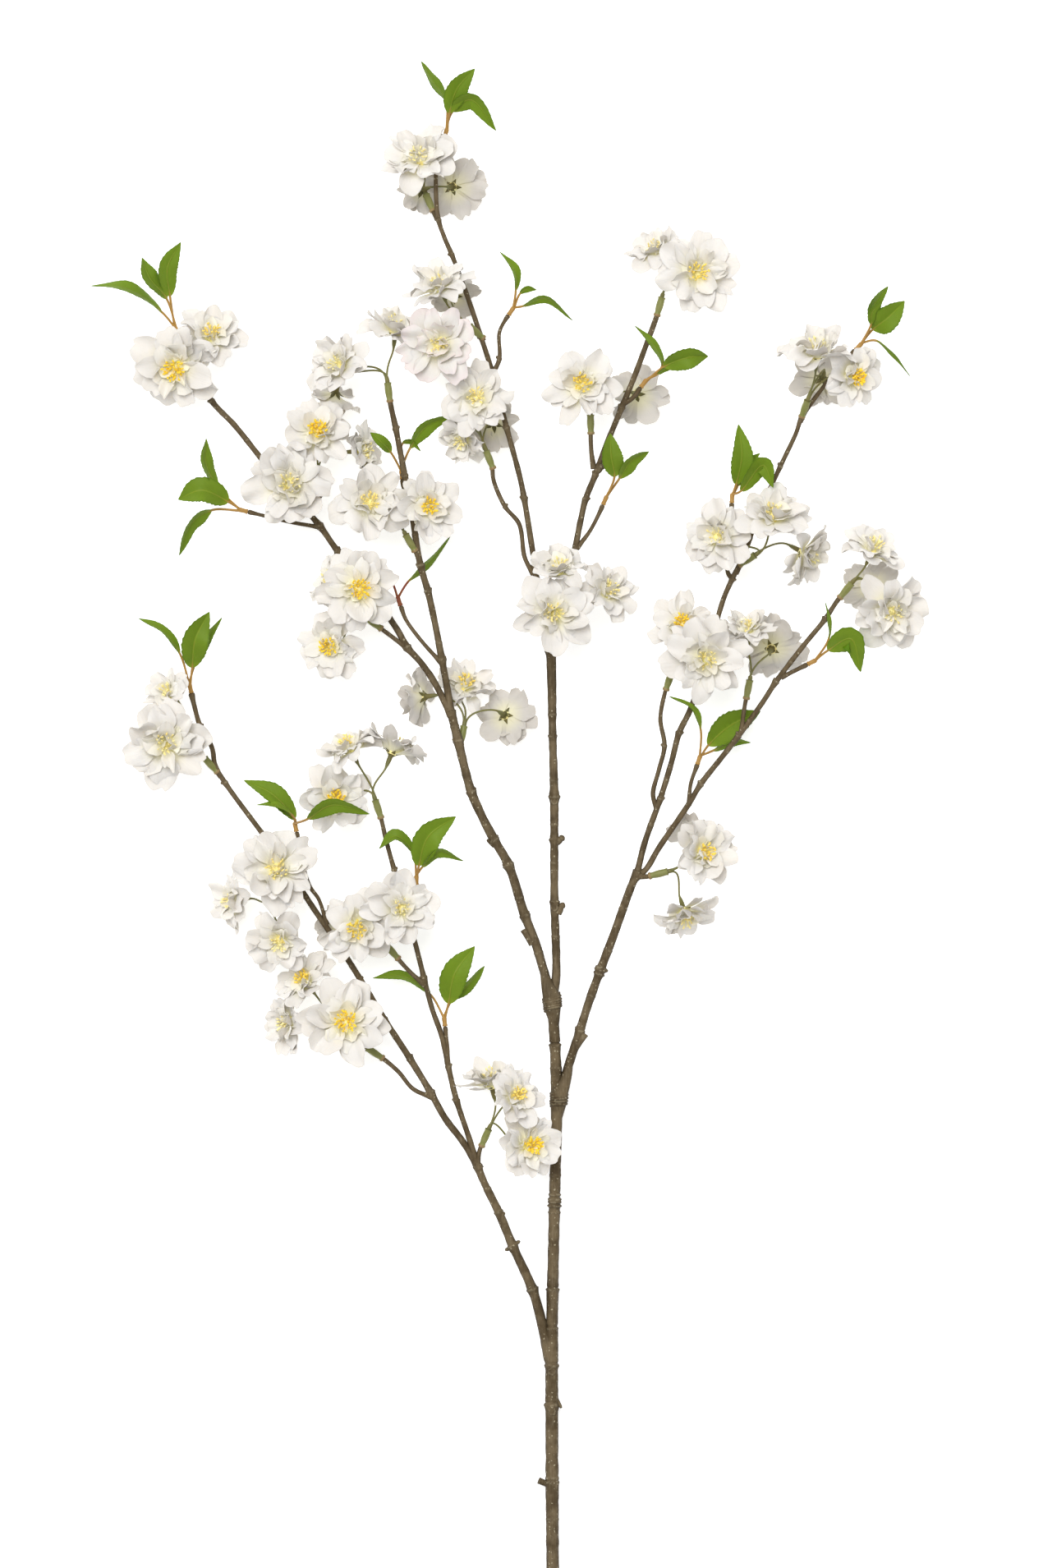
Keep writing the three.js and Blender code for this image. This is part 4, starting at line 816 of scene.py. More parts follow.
# Rings between the knots: x and y in the picture, height of the lip and depth of the groove below it.
soft, deep = (0.16, 0.16), (0.3, 0.7)
moreRings = {
    "main_stem": [
        (675, 1455, 0.75, 0.2), (675, 1461.8, 1.0, 0.2), (675, 1468.5, 1.2, 0.5), (675, 1477, 0.6, 0.0),
        *[(*at, *deep) for at in ((673, 1570), (673, 1617), (672, 1663), (672, 1711), (677, 1273))],
        *[(*at, *soft) for at in (
            (672, 1800), (672, 1850), (676, 1430), (677, 1300), (675, 1141), (676, 1050), (675, 1004),
            (675, 950), (673, 870))],
    ],
    "lower_left_branch": [
        (*at, *soft) for at in ((593, 1448), (545, 1368), (372, 1092), (428, 1176), (552, 1322))
    ],
    "upper_left_branch": [(*at, *soft) for at in (
        (655, 1160), (632, 1094), (577, 972), (554, 884), (534, 783), (506, 650), (488, 556), (470, 747),
        (430, 692), (300, 536), (270, 503))],
    "right_branch": [
        (733, 1179, 0.9, 0.4), (729, 1186, 0.8, 0.4),
        *[(*at, *soft) for at in (
            (720, 1212), (741, 1157), (759, 1107), (793, 1004), (833, 880), (869, 772), (912, 655),
            (938, 596), (861, 943), (912, 878), (962, 806), (993, 768))],
    ],
}
# A joint's line, its half-widths and half-heights there, and the stretch of it that is wound. The
# branch lies over the stem as a wedge that widens down to the winding.
joints = [
    dict(line=[(661, 1172, 35), (664, 1190, 36.5), (667.8, 1203, 37.2), (671, 1213, 37), (672, 1222, 36)],
         widths=(2.2, 3.5, 5.2, 6.4, 6.0), heights=(2.2, 3.4, 3.8, 4.2, 3.6)),
    dict(line=[(672, 1208, 35), (672.5, 1220, 34.4), (673, 1229, 34), (674.5, 1241, 33), (676, 1256, 31)],
         widths=(6.2, 6.4, 5.9, 4.3, 2.4), heights=(4.6, 5.2, 5.0, 4.0, 2.4), wound=(0.45, 1.9), tilt=0.42),
    dict(line=[(694, 1292, 30), (692, 1303, 31.5), (687.5, 1318, 32), (682, 1331, 31), (681, 1338, 30)],
         widths=(2.2, 3.2, 4.4, 6.3, 6.0), heights=(2.2, 3.3, 3.8, 4.2, 3.6)),
    dict(line=[(681, 1324, 29), (681, 1336, 28.5), (680, 1346, 28), (679, 1356, 27), (678, 1370, 26)],
         widths=(5.6, 6.1, 5.5, 4.4, 2.6), heights=(4.4, 5.0, 4.9, 4.0, 2.4), wound=(0.4, 2.0), tilt=0.34),
    dict(line=[(661, 1612, 14.5), (666, 1635, 14), (669.5, 1652, 13), (672, 1662, 12.6)],
         widths=(2.2, 4.4, 5.0, 4.5), heights=(2.2, 4.0, 4.8, 4.4)),
]
jointLook = dict(
    steps=26, sides=20,
    turns=5, threadSteps=22, thread=1.05, threadSides=8, uneven=0.5, sunk=0.1,
)
# Oval leaf scars that face up: x, y, height of the stem's middle and its radius there.
scars = [(672, 1671, 12.9, 4.7), (672.5, 1720, 10.7, 4.9), (675, 1105, 37.8, 3.4), (675, 975, 40.9, 3.4)]


def armLine(arm):
    points = np.array([placed(place) for place in arm["route"]])
    places = np.linspace(0, len(points) - 1, 40 * len(points))
    fine = lineThrough(points, places)
    lengths = lengthsAlong(fine)
    end = lengths[-1]
    if arm["socket"]:
        end -= barkLook["socketLength"] - barkLook["intoSocket"]
    return fine, lengths, np.interp(np.arange(len(points)), places, lengths), end


# Knots and rings of an arm: where they are, how far they swell, and their lip and groove.
def knotsOf(arm, rings, fine, lengths, placeLengths):
    knots = [
        (length, place[3], barkLook["lip"], barkLook["groove"])
        for length, place in zip(placeLengths, arm["route"]) if len(place) > 3
    ]
    for x, y, lip, groove in rings:
        apart = np.linalg.norm(fine[:, :2] - placed((x, y, 0))[:2], axis=1)
        if apart.min() < barkLook["ringNear"]:
            knots.append((lengths[apart.argmin()], barkLook["ringSwell"], lip, groove))
    return knots


def barkLump(point, angle, seed):
    size = barkLook["fineLumpSize"]
    fine = point[0] * size + 2 * math.cos(angle), point[1] * size + 2 * math.sin(angle), seed
    return noise.noise(point * barkLook["lumpSize"]) + barkLook["fineLump"] * noise.noise(fine)


def armBody(arm, rings, seed):
    look = barkLook
    fine, lengths, placeLengths, end = armLine(arm)
    knots = knotsOf(arm, rings, fine, lengths, placeLengths)
    near = [knot[0] + offset for knot in knots for offset in look["knotSteps"]]
    stations = np.concatenate([np.arange(0, end, look["step"]), near, [end]])
    stations = np.unique(np.round(stations[(stations >= 0) & (stations <= end)], 2))
    stations = stations[np.concatenate([[True], np.diff(stations) > look["closest"]])]
    line = np.column_stack([np.interp(stations, lengths, fine[:, k]) for k in range(3)])
    start, finish = arm["radius"]
    if arm["radii"]:
        plain = np.interp(stations, placeLengths, arm["radii"])
    else:
        plain = np.interp(stations, [0, lengths[-1]], arm["radius"])
    if finish < look["thinArm"]:
        plain = plain * (1 + look["footFlare"] * hump(stations, look["footReach"]))
        if not arm["socket"]:
            plain = plain * (1 + look["endFlare"] * hump(stations - end, look["endReach"]))
    sides = look["sides"][0 if start > look["thinArm"] else 1]
    angles = anglesRound(sides)
    around = plain[:, None] * np.ones((1, sides))
    small = np.minimum(plain / look["slender"], 1)
    worn = np.zeros(len(stations))
    for i, (length, knot, lip, groove) in enumerate(knots):
        along = stations - length
        around *= 1 + look["knotSwell"] * (knot - 1) * hump(along, look["knotReach"])[:, None]
        raised = hump(along, look["lipWidth"])
        sunk = hump(along - look["grooveAt"], look["grooveWidth"])
        around += ((lip * raised - groove * sunk) * small)[:, None]
        worn = np.maximum(worn, raised * min(1, 0.4 + lip))
        if knot >= look["collarFrom"]:
            leaning = 0.5 + 0.5 * np.cos(angles - 2.4 * i - seed)
            flare = hump(np.minimum(along + 0.4, 0), look["collarReach"]) * (along < 0.3)
            around += look["collar"] * flare[:, None] * leaning[None, :] * small[:, None]
    rough = np.array([[barkLump(point, angle, seed) for angle in angles] for point in line])
    twist = look["flutes"] * angles[None, :] + look["fluteTwist"] * stations[:, None] + seed
    around *= 1 + look["lumps"] * rough + look["fluting"] * np.sin(twist)
    around[-1] *= 0.8
    slender = smooth(look["slender"] - plain, 0.0, 1.2)
    return tube(line, around, sides, endDome=0.5, slender=slender, worn=worn)


# Small buds on the thinner arms' knots, on one side and the other in turn.
def knotBuds(arm, seed):
    fine, lengths, placeLengths, end = armLine(arm)
    along = headings(fine)
    buds = []
    for i, (length, place) in enumerate(zip(placeLengths, arm["route"])):
        inside = budLook["fromEnds"] < length < end - budLook["fromEnds"]
        if len(place) < 4 or arm["radius"][0] > budLook["thickestArm"] or not inside:
            continue
        at = np.abs(lengths - length).argmin()
        aside = unit(np.cross(along[at], upright)) * (1 if (i + seed) % 2 else -1)
        outwards = unit(aside + budLook["lean"] * along[at] + budLook["rise"] * upright)
        skin = np.interp(length, [0, end], arm["radius"])
        profile = [(0, 1.5), (skin + 0.4, 1.2), (skin + 0.9, 1.15), (skin + budLook["height"], 0.5)]
        buds.append(turned(fine[at], outwards, profile, budLook["sides"], slender=0.5, worn=0.5))
    return buds


# A joint's swollen body, wider than it is high, and the thread wound round it.
def jointBodies(joint):
    points = [placed(place) for place in joint["line"]]
    places = np.linspace(0, len(points) - 1, jointLook["steps"])
    line = lineThrough(points, places)
    along = headings(line)
    sizes = [np.interp(places, np.arange(len(points)), joint[size]) for size in ("widths", "heights")]

    def onSurface(place, angle, extra):
        middle, heading = (
            np.array([np.interp(place, places, values[:, k]) for k in range(3)]) for values in (line, along)
        )
        aside = unit(np.cross(heading, upright))
        wide, high = (np.interp(place, places, size) + extra for size in sizes)
        return middle + aside * wide * math.cos(angle) + np.cross(aside, heading) * high * math.sin(angle)

    sides = jointLook["sides"]
    rings = [[onSurface(place, -fullTurn * k / sides, 0) for k in range(sides)] for place in places]
    bodies = [ringBody(np.array(rings), line[[0, -1]], dict(slender=0, worn=0.15))]
    if "wound" in joint:
        start, end = joint["wound"]
        count = jointLook["turns"]
        turns = np.linspace(0, count, jointLook["threadSteps"] * count)
        wander = np.array([noise.noise((turn * 1.7, start, 3.0)) for turn in turns])
        thread = []
        for turn, aside in zip(turns, wander):
            angle = fullTurn * turn
            at = start + (end - start) * turn / count + joint["tilt"] * 0.5 * math.cos(angle) + 0.12 * aside
            thread.append(onSurface(at, angle, jointLook["uneven"] * aside - jointLook["sunk"]))
        radii = jointLook["thread"] + jointLook["uneven"] * wander
        bodies.append(tube(np.array(thread), radii, jointLook["threadSides"], slender=0, worn=0.5))
    return bodies


def scarBody(x, y, height, radius):
    middle = placed((x, y, height + radius - 0.3))
    profile = [(-1.5, 3.0), (-0.2, 3.0), (0.3, 2.7), (0.4, 2.3), (0.1, 1.8), (-0.25, 0.9)]
    return turned(middle, upright, profile, 14, slender=0, worn=0.5)


# A cut stub has a flat hollow end. A bud narrows above its foot, swells and ends in a point. Rows
# are (share of the length, radius).
stubShapes = dict(
    cut=[(0, 2.5), (0.4, 2.35), (0.85, 2.5), (0.97, 2.7), (1.0, 2.5), (1.0, 2.0), (0.93, 1.5)],
    thorn=[(0, 1.9), (0.5, 1.6), (0.85, 1.3), (1.0, 0.7)],
    bud=[(0, 3.0), (0.35, 2.8), (0.5, 2.4), (0.58, 2.1), (0.65, 2.6), (0.8, 2.4), (0.92, 1.6), (1.0, 0.4)],
)


def stubBody(root, tip, shape):
    root, tip = placed(root), placed(tip)
    profile = np.array(stubShapes[shape]) * [np.linalg.norm(tip - root) + 0.8, 1]
    return turned(root, unit(tip - root), profile, 10, slender=0, worn=0.4)


# Joins overlapping closed bodies into one skin.
def unite(name, bodies, material):
    whole = makeObject(name, bodies[:1], material, 60)
    others = [makeObject(f"{name}_arm", [body], material, 60) for body in bodies[1:]]
    bpy.context.view_layer.objects.active = whole
    for other in others:
        join = whole.modifiers.new("join", "BOOLEAN")
        join.operation = "UNION"
        join.solver = "MANIFOLD"
        join.object = other
    ready = bpy.data.meshes.new_from_object(whole.evaluated_get(bpy.context.evaluated_depsgraph_get()))
    whole.modifiers.clear()
    for other in others:
        bpy.data.objects.remove(other)
    whole.data = ready
    ready.name = name
    ready.set_sharp_from_angle(angle=math.radians(60))
    return whole


for node, stem in stems.items():
    bodies = [armBody(arm, moreRings[node], 7 * i) for i, arm in enumerate(stem["arms"])]
    bodies += [bud for i, arm in enumerate(stem["arms"]) for bud in knotBuds(arm, i)]
    bodies += [stubBody(root, tip, shape) for shape in stubShapes for root, tip in stem.get(shape, [])]
    if node == "main_stem":
        bodies += [body for joint in joints for body in jointBodies(joint)]
        bodies += [scarBody(*scar) for scar in scars]
    for body in bodies:
        laidDown(body["points"], 0.0, 0.6)
    faceCount = finishPiece(unite(f"{node}_bark", bodies, barkMaterial), node)
    print(node, faceCount, "faces of bark")

# Green sockets at the twigs' ends: a ring at the foot, a fluted sleeve and a hollow mouth.
socketLook = dict(
    # millimetres before the mouth, radius
    profile=[
        (14.6, 1.9), (14.4, 2.5), (13.6, 2.75), (12.8, 2.6), (12.3, 2.25), (11.2, 2.15), (9.5, 2.4),
        (7.0, 2.62), (4.5, 2.6), (2.6, 2.45), (1.4, 2.5), (0.5, 2.75), (0.0, 2.8), (0.0, 2.3),
        (0.6, 2.1), (2.6, 1.9),
    ],
    sides=20, flutes=7, fluteDepth=0.05, ringEnd=12.9, flutesEnd=12.4,
)


def socketBody(before, mouth):
    look = socketLook
    before, mouth = placed(before), placed(mouth)
    profile = np.array(look["profile"])
    distance = profile[:, 0]
    depth = look["fluteDepth"] * (smooth(distance, 0.5, 3) * smooth(look["flutesEnd"] - distance, 0, 2))
    green = smooth(look["ringEnd"] - distance, 0, 0.5)
    axis = unit(mouth - before)
    return turned(mouth, axis, profile * [-1, 1], look["sides"], look["flutes"], depth, along=green)


for node, stem in stems.items():
    bodies = [socketBody(*arm["route"][-2:]) for arm in stem["arms"] if arm["socket"]]
    finishPiece(makeObject(f"{node}_sockets", bodies, moulded["mouldedSocket"], 45), node)
print("sockets made")

# Blooms. Lengths, widths and starts are in radii of the bloom, lifts in degrees from its disc at the
# foot and at the tip. Turn is in petals, and closes is how much further the tips lean in where few
# stamens show.
layerValues = ("petals", "length", "width", "lift", "arc", "start", "turn", "warm", "wild", "closes", "grid")
bloomLook = dict(
    layers=[dict(zip(layerValues, layer)) for layer in (
        (6, 1.06, 0.67, (30, -5), 0.5, 0.07, 0.0, 0.0, 1.0, 0, (8, 11)),
        (6, 0.98, 0.61, (42, 6), 0.6, 0.07, 0.5, 0.0, 1.1, 4, (8, 11)),
        (7, 0.80, 0.50, (52, 18), 0.8, 0.06, 0.25, 0.12, 1.5, 10, (7, 10)),
        (6, 0.62, 0.42, (58, 30), 0.9, 0.06, 0.7, 0.4, 1.8, 22, (6, 8)),
        (5, 0.44, 0.34, (62, 50), 1.0, 0.09, 0.1, 0.7, 2.2, 30, (6, 8)),
    )],
    thickness=0.2, ruffle=0.085, frill=0.022, rimCurl=0.12,
    # how far petals stray by chance: shares of a length and a width, and degrees
    lengthStray=(-0.12, 0.05), widthStray=0.2, liftStray=13, tipStray=(-22, 28), turnStray=15, rollStray=28,
    hollows=(0.4, 0.9, 1.4, 2.0), hollowChances=(0.25, 0.35, 0.3, 0.1),
    notch=(-0.08, 0.13), notchStray=0.35, notchWidth=0.2, lobe=(0.005, 0.035), toneStray=0.35,
    footWidth=0.16, corners=0.26, narrowing=0.09, footHeight=0.02,
)


# Steps along a petal and across it, close together at the rim.
def stepsAlong(count):
    return np.concatenate([np.linspace(0, 1, count - 1)[:-1] * 0.97, [0.95, 1]])


def stepsAcross(count):
    return np.concatenate([[-1, -0.95], np.linspace(-1, 1, count - 2)[1:-1] * 0.96, [0.95, 1]])


# How far out and up a blade's middle line is at each share of its length, and how steep it is.
def bladeCourse(shares, steps, slope, length):
    outwards, upwards = (
        np.concatenate([[0], np.cumsum(way(slope[:-1]))]) * (steps[1] - steps[0]) * length
        for way in (np.cos, np.sin)
    )
    return [np.interp(shares, steps, values) for values in (outwards, upwards, slope)]


# A blade's points in the bloom's own frame, from its distances outwards, aside and up.
def bladeGrid(angle, out, aside, up):
    out, aside, up = np.broadcast_arrays(out, aside, up)
    outDirection = np.array([math.cos(angle), math.sin(angle), 0])
    asideDirection = np.array([math.sin(angle), -math.cos(angle), 0])
    return out[..., None] * outDirection + aside[..., None] * asideDirection + up[..., None] * upright


def petalBody(rng, radius, layer, angle, pink, gold):
    look = bloomLook
    rows, columns = layer["grid"]
    wild = layer["wild"]
    v = stepsAlong(rows)[:, None]
    u = stepsAcross(columns)[None, :]
    length = layer["length"] * (1 + wild * rng.uniform(*look["lengthStray"]))
    width = layer["width"] * (1 + look["widthStray"] * wild * rng.uniform(-1, 1))
    arc = layer["arc"] * rng.choice(look["hollows"], p=look["hollowChances"]) * rng.uniform(0.8, 1.2)
    lift = np.radians(layer["lift"][0] + wild * rng.uniform(-look["liftStray"], look["liftStray"]))
    closing = layer["closes"] * (1 - gold)
    tipLift = np.radians(layer["lift"][1] + closing + wild * rng.uniform(*look["tipStray"]))
    angle += np.radians(wild * rng.uniform(-look["turnStray"], look["turnStray"]))
    roll = np.radians(wild * rng.uniform(-look["rollStray"], look["rollStray"]))
    notch = max(0.0, rng.uniform(*look["notch"]))
    notchAt = rng.uniform(-look["notchStray"], look["notchStray"])
    lobe, lobeAt = rng.uniform(*look["lobe"]), rng.uniform(0, 6.28)
    curl = look["rimCurl"] * rng.uniform(-1.2, 1.0)
    ruffle, ruffleAt = look["ruffle"] * rng.uniform(0.3, 1.5), rng.uniform(0, 6.28)
    waves = rng.uniform(2.2, 4.2)
    frill, frillAt = look["frill"] * rng.uniform(0.3, 1.4), rng.uniform(0, 6.28)
    frills = rng.uniform(5.0, 8.0)
    tone = rng.uniform(0.0, look["toneStray"])
    reach = v - look["corners"] * np.abs(u) ** 3 * v**2 - notch * hump(u - notchAt, look["notchWidth"]) * v**6
    reach = reach + lobe * np.sin(5 * u + lobeAt) * v**3
    half = 0.5 * width * (look["footWidth"] + (1 - look["footWidth"]) * smooth(v, 0, 0.72))
    half = half * (1 - look["narrowing"] * smooth(v, 0.75, 1.0))
    bend = np.maximum(arc * (1 - 0.6 * v), 1e-3)
    aside = half * np.sin(u * bend) / bend
    rise = half * (1 - np.cos(u * bend)) / bend
    rise = rise + ruffle * np.sin(waves * u + ruffleAt + 2.5 * v) * v**2.5
    rise = rise + frill * np.sin(frills * u + frillAt) * v**3
    rise = rise + curl * smooth(v, 0.7, 1.0) * (0.5 + 0.5 * np.cos(1.2 * u))
    across, lifted = math.cos(roll), math.sin(roll)
    aside, rise = aside * across - rise * lifted, rise * across + aside * lifted * v
    steps = np.linspace(0, 1.12, 57)
    slope = lift + (tipLift - lift) * smooth(steps, -0.15, 1.0)
    outwards, upwards, tilt = bladeCourse(reach, steps, slope, length)
    out = layer["start"] + outwards - np.sin(tilt) * rise
    up = look["footHeight"] + upwards + np.cos(tilt) * rise
    rim = np.maximum(smooth(np.abs(u), 0.95, 1.0) * smooth(v, 0.2, 0.5), smooth(v, 0.95, 1.0))
    warm = layer["warm"] * (0.6 + 0.4 * gold)
    marks = dict(along=v, across=u, rim=rim, warm=warm, tone=tone, pink=pink)
    return bladeGrid(angle, out, aside, up) * radius, marks


calyxLook = dict(
    length=11.0,
    # share of the length from the stalk's end to the petals, radius
    profile=[(0, 0.75), (0.12, 1.0), (0.3, 1.5), (0.55, 1.75), (0.8, 1.85), (1.0, 2.3), (1.08, 2.4)],
    sepals=5, sepalLength=5.6, sepalWidth=3.0, sepalLift=(52, 26), sepalFrom=(2.2, -1.0), sepalThickness=0.4,
    stalkRadius=0.75, spread=0.85,
    # distance from the plug's foot, share of its radius
    plug=[(-1.6, 0.85), (0, 0.95), (1.2, 1.0), (2.4, 0.9), (3.0, 0.6)],
    plugRadius=1.75, seat=0.3, rootDepth=1.5, behindMiddle=0.5,
)


# Where the petals meet the calyx, the way that the bloom faces and the turn of its own frame.
def bloomPlace(bloom):
    faces = unit(np.array(bloom["faces"], float))
    foot = placed(bloom["place"])
    onwards = calyxLook["length"] / 2 if bloom["atCalyx"] else -calyxLook["behindMiddle"] * bloom["radius"]
    foot[:2] += onwards * faces[:2]
    return foot, faces, np.array(Vector((0, 0, 1)).rotation_difference(Vector(faces)).to_matrix())


def sepalGrid(angle, rng):
    look = calyxLook
    v = np.linspace(0, 1, 7)[:, None]
    u = np.linspace(-1, 1, 5)[None, :]
    swell = 0.7 + 0.3 * np.sin(np.pi * np.minimum(v * 1.3, 1))
    half = 0.5 * look["sepalWidth"] * swell * (1 - v**2.2) + 0.12
    lift = np.radians(look["sepalLift"][0] + rng.uniform(-6, 4))
    tip = np.radians(look["sepalLift"][1] + rng.uniform(-10, 6))
    steps = np.linspace(0, 1, 21)
    slope = lift + (tip - lift) * steps
    outwards, upwards, tilt = bladeCourse(v, steps, slope, look["sepalLength"] * rng.uniform(0.9, 1.1))
    rise = 0.35 * u**2 * half
    out = look["sepalFrom"][0] + outwards - np.sin(tilt) * rise
    up = look["sepalFrom"][1] + upwards + np.cos(tilt) * rise
    return bladeGrid(angle, out, -half * u, up)


def calyxBodies(foot, faces, turn, root, along, spin, rng):
    look = calyxLook
    profile = np.array(look["profile"])
    end = foot - faces * look["length"]
    line = end + np.outer(profile[:, 0] * look["length"], faces)
    bodies = [tube(line, profile[:, 1], 10, along=profile[:, 0])]
    distance = np.linalg.norm(root - end)
    bends = [end + faces * 0.6, end - faces * 0.25 * distance, root + along * 0.45 * distance, root]
    shares = np.linspace(0, 1, 18)
    radii = look["stalkRadius"] * np.interp(shares, [0, 0.12, 0.9, 1], [1.15, 0.95, 1.0, 1.3])
    bodies.append(tube(laidDown(bezier(bends, shares), 0.8, 1.0), radii, 7, along=0.15))
    for k in range(look["sepals"]):
        local = sepalGrid(spin + (k + 0.5) * fullTurn / look["sepals"], rng)
        bodies.append(sheet(local @ turn.T + foot, look["sepalThickness"], along=0.9))
    return bodies


stamenLook = dict(
    count=(12, 32),  # of a closed bloom and of an open, golden one
    spread=(0.03, 0.25),  # from the middle outwards
    height=(0.38, 0.58), thread=0.27, anther=0.72, antherGrowth=0.3, antherReach=1.7, dome=0.15,
)


def stamenBodies(foot, turn, radius, gold, rng):
    look = stamenLook
    dome = [(0.0, 1.0), (0.12, 0.98), (0.22, 0.8), (0.3, 0.45), (0.32, 0.1)]
    bodies = [turned(foot, turn[:, 2], np.array(dome) * radius * [1, look["dome"]], 8, along=0.1, tint=0.5)]
    pale = 0.85 * (1 - smooth(gold, 0.1, 0.8))
    count = round(np.interp(gold, [0, 1], look["count"]))
    for k in range(count):
        angle = 2.4 * k + rng.uniform(-0.3, 0.3)
        spread = np.interp(math.sqrt((k + 0.5) / count), [0, 1], look["spread"])
        height = rng.uniform(*look["height"])
        outwards = np.array([math.cos(angle), math.sin(angle), 0])
        points = [
            outwards * 0.03,
            outwards * spread * 0.35 + height * 0.55 * upright,
            outwards * spread + height * upright,
        ]
        line = (lineThrough(points, np.linspace(0, 2, 5)) * radius) @ turn.T + foot
        bodies.append(tube(line, look["thread"], 3, along=np.linspace(0, 0.45 + 0.4 * gold, 5), tint=pale))
        lean = unit(unit(line[-1] - line[-2]) + 0.7 * rng.uniform(-1, 1, 3))
        size = look["anther"] * rng.uniform(0.85, 1.15) * (1 + look["antherGrowth"] * gold)
        pod = line[-1] + np.outer(np.array([-1.0, -0.75, 0.0, 0.75, 1.0]) * size * look["antherReach"], lean)
        radii = size * np.array([0.25, 0.66, 0.95, 0.66, 0.25])
        bodies.append(tube(pod, radii, 5, 0.1, 0.1, along=1.0, tint=pale))
    return bodies


# The direction of a plug and the one across it that points up the most.
def plugWays(before, end):
    along = unit(end - before)
    return along, unit(upright - along * along[2])


faceCount = 0
for number, (before, mouth, *blooms) in enumerate(sprays, 1):
    node = f"blossom_spray_{number:02d}"
    before, mouth = placed(before), placed(mouth)
    along, across = plugWays(before, mouth)
    plugFoot = mouth + along * calyxLook["seat"]
    plug = np.array(calyxLook["plug"])
    plugLine, plugRadii = plugFoot + np.outer(plug[:, 0], along), calyxLook["plugRadius"] * plug[:, 1]
    petals, greens, stamens = [], [tube(plugLine, plugRadii, 12, endDome=0.3, along=0.3)], []
    for i, bloom in enumerate(blooms):
        rng = np.random.default_rng(number * 10 + i)
        foot, faces, turn = bloomPlace(bloom)
        aside = turnedAbout(across * calyxLook["spread"], along, i * fullTurn / len(blooms))
        root = plugFoot + along * calyxLook["rootDepth"] + aside
        spin = math.radians(bloom["spin"]) + rng.uniform(0, 0.4)
        greens += calyxBodies(foot, faces, turn, root, along, spin, rng)
        stamens += stamenBodies(foot, turn, bloom["radius"], bloom["gold"], rng)
        for layer in bloomLook["layers"]:
            for k in range(layer["petals"]):
                angle = spin + (k + layer["turn"]) * fullTurn / layer["petals"]
                local, marks = petalBody(rng, bloom["radius"], layer, angle, bloom["pink"], bloom["gold"])
                petals.append(sheet(local @ turn.T + foot, bloomLook["thickness"], **marks))
    faceCount += finishPiece(makeObject(f"{node}_petals", petals, petalMaterial), node)
    faceCount += finishPiece(makeObject(f"{node}_greens", greens, moulded["mouldedCalyx"]), node)
    faceCount += finishPiece(makeObject(f"{node}_stamens", stamens, moulded["stamens"]), node)
print(len(sprays), "blossom sprays,", faceCount, "faces")

# Leaf sprigs: an amber foot and petioles that run on as midribs, and toothed folded blades.
leafLook = dict(
    rows=43, columns=9, widthShare=0.42, thickness=0.35, teeth=12, toothDepth=0.1, toothed=(0.08, 0.97),
    fold=0.42, hollow=0.12, wave=0.12, waves=9, veinRelief=0.17, veinWidth=0.12, brightness=0.3,
)
petioleLook = dict(
    # share of the foot's length, share of its radius
    foot=[(0, 0.95), (0.06, 1.12), (0.14, 1.12), (0.2, 0.92), (0.5, 0.95), (0.85, 1.05), (1.0, 0.8)],
    footRadius=1.75, footLength=7.0, spread=0.7, sunk=1.0, seat=0.3, radius=0.95,
    red=(16,),  # the sprigs whose petioles are red
)


def leafBodies(leaf, start, red, rng):
    look = leafLook
    points = [start] + [placed(place) for place in leaf["line"]]
    s = np.linspace(0, 1, look["rows"])
    u = np.linspace(-1, 1, look["columns"])
    line = lineThrough(points, 1 + 2 * s)
    along = headings(line)
    bladeLength = np.linalg.norm(points[1] - points[2]) + np.linalg.norm(points[2] - points[3])
    width = look["widthShare"] * bladeLength * leaf["widen"]
    half = 0.5 * width * np.sin(np.pi * np.minimum(s, 0.999) ** 0.85) ** 0.8 * (1 - 0.3 * s**6) + 0.15
    tooth = look["toothDepth"] * ((s * look["teeth"]) % 1.0 - 0.5)
    tooth = tooth * ((look["toothed"][0] < s) & (s < look["toothed"][1]))
    fold = look["fold"] * leaf["fold"] * rng.uniform(0.7, 1.3)
    waveAt = rng.uniform(0, 6.28)
    grid = np.zeros((look["rows"], look["columns"], 3))
    for i in range(look["rows"]):
        side = turnedAbout(unit(np.cross(along[i], upright)), along[i], math.radians(leaf["roll"]))
        across = u * np.where(np.abs(u) > 0.99, half[i] * (1 + tooth[i]), half[i])
        lift = fold * np.abs(u) * half[i] - look["hollow"] * u**2 * half[i]
        lift += look["wave"] * half[i] * u**2 * np.sin(look["waves"] * s[i] + waveAt + 1.5 * np.sign(u))
        slant = (s[i] * leafFinish["veins"] - np.abs(u) * leafFinish["veinSlant"]) % 1.0
        lift -= look["veinRelief"] * hump(slant - 0.5, look["veinWidth"]) * (1 - np.abs(u))
        grid[i] = line[i] + np.outer(across, side) + np.outer(lift, np.cross(side, along[i]))
    tone = 0.05 + 0.4 * rng.uniform(0, 1) - look["brightness"] * leaf["bright"]
    blade = sheet(grid[:, ::-1], look["thickness"], along=s[:, None], across=u[None, ::-1], tone=tone)
    stem = laidDown(lineThrough(points, np.linspace(0, 2.7, 40)), 0.8, 1.0)
    shares = np.linspace(0, 1, 40)
    radii = petioleLook["radius"] * np.interp(shares, [0, 0.12, 0.37, 0.5, 1.0], [1.1, 0.9, 0.95, 0.5, 0.15])
    green = 0.25 * shares + 0.75 * smooth(shares, 0.32, 0.5)
    return blade, tube(stem, radii, 8, along=green, tint=red * smooth(0.42 - shares, 0, 0.08))


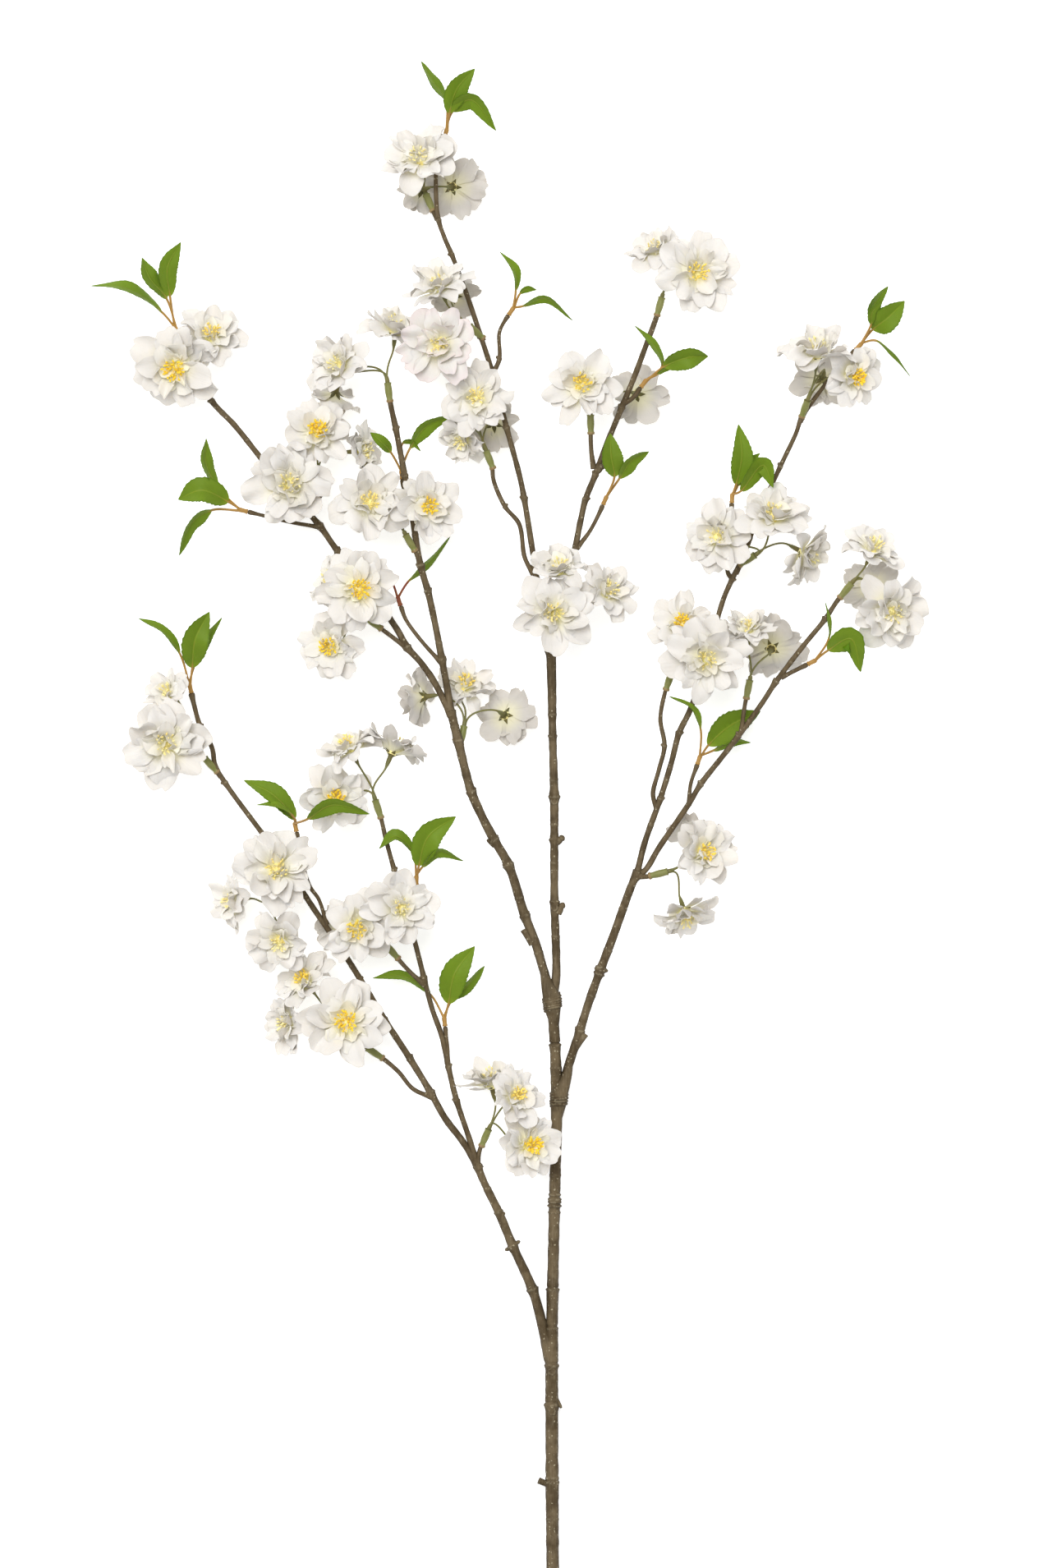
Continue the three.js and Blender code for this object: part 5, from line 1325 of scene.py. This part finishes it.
for number, (before, end, *leafList) in enumerate(sprigs, 1):
    node = f"leaf_sprig_{number:02d}"
    before, end = placed(before), placed(end)
    along, across = plugWays(before, end)
    foot = end + along * petioleLook["seat"]
    top = foot + along * petioleLook["footLength"]
    profile = np.array(petioleLook["foot"])
    feet = foot + np.outer(profile[:, 0] * petioleLook["footLength"], along)
    footRadii = petioleLook["footRadius"] * profile[:, 1]
    red = 1 if number in petioleLook["red"] else 0
    leaves, petioles = [], [tube(feet, footRadii, 12, endDome=0.6, along=0.0, tint=red)]
    for i, leaf in enumerate(leafList):
        rng = np.random.default_rng(1000 + number * 10 + i)
        aside = turnedAbout(across * petioleLook["spread"], along, i * fullTurn / len(leafList))
        blade, petiole = leafBodies(leaf, top - along * petioleLook["sunk"] + aside, red, rng)
        leaves.append(blade)
        petioles.append(petiole)
    finishPiece(makeObject(f"{node}_leaves", leaves, leafMaterial), node)
    finishPiece(makeObject(f"{node}_petioles", petioles, moulded["mouldedPetiole"]), node)
print(len(sprigs), "leaf sprigs")

# Pale table, soft studio light and a camera that looks straight down.
studio = dict(
    floor=(0.95, 0.95, 0.945), floorSize=60.0, floorHeight=-0.0002, glow=0.5,
    sky=0.55, sun=2.2, sunAngle=35.0, sunFrom=(-0.3, 0.5, 1.6),
    cameraHeight=24.0, branchHeight=0.04, sensor=36.0,
)


def addToScene(name, data):
    made = bpy.data.objects.new(name, data)
    bpy.context.scene.collection.objects.link(made)
    return made


def buildStudio():
    scene = bpy.context.scene
    mesh = bpy.data.meshes.new("table")
    reach, height = studio["floorSize"] / 2, studio["floorHeight"]
    corners = [(x * reach, y * reach, height) for x, y in ((-1, -1), (1, -1), (1, 1), (-1, 1))]
    mesh.from_pydata(corners, [], [(0, 1, 2, 3)])
    mesh.materials.append(newMaterial("tableTop", {
        "Base Color": (*studio["floor"], 1), "Roughness": 0.9, "Specular IOR Level": 0.1,
        "Emission Color": (1, 1, 1, 1), "Emission Strength": studio["glow"],
    })[0])
    floor = addToScene("table", mesh)
    scene.world = bpy.data.worlds.new("studio")
    scene.world.use_nodes = True
    sky = scene.world.node_tree.nodes["Background"].inputs
    sky["Color"].default_value = (1, 1, 1, 1)
    sky["Strength"].default_value = studio["sky"]
    light = bpy.data.lights.new("window", "SUN")
    light.energy = studio["sun"]
    light.angle = math.radians(studio["sunAngle"])
    addToScene("window", light).rotation_euler = Vector(studio["sunFrom"]).to_track_quat("Z", "Y").to_euler()
    camera = bpy.data.cameras.new("camera")
    camera.sensor_fit = "VERTICAL"
    camera.sensor_height = studio["sensor"]
    frameHeight = pictureSize[1] * mmPerPixel * 0.001
    camera.lens = studio["sensor"] * (studio["cameraHeight"] - studio["branchHeight"]) / frameHeight
    camera.clip_end = 200
    middle = placed((pictureSize[0] / 2, pictureSize[1] / 2, 0)) * 0.001
    scene.camera = addToScene("camera", camera)
    scene.camera.location = (middle[0], middle[1], studio["cameraHeight"])
    scene.view_settings.view_transform = "Standard"


buildStudio()
dressed = [made for made in bpy.data.objects if made.type == "MESH" and len(made.data.materials)]
triangles = sum(len(face.vertices) - 2 for made in dressed for face in made.data.polygons)
print("table, light and camera;", triangles, "triangles")
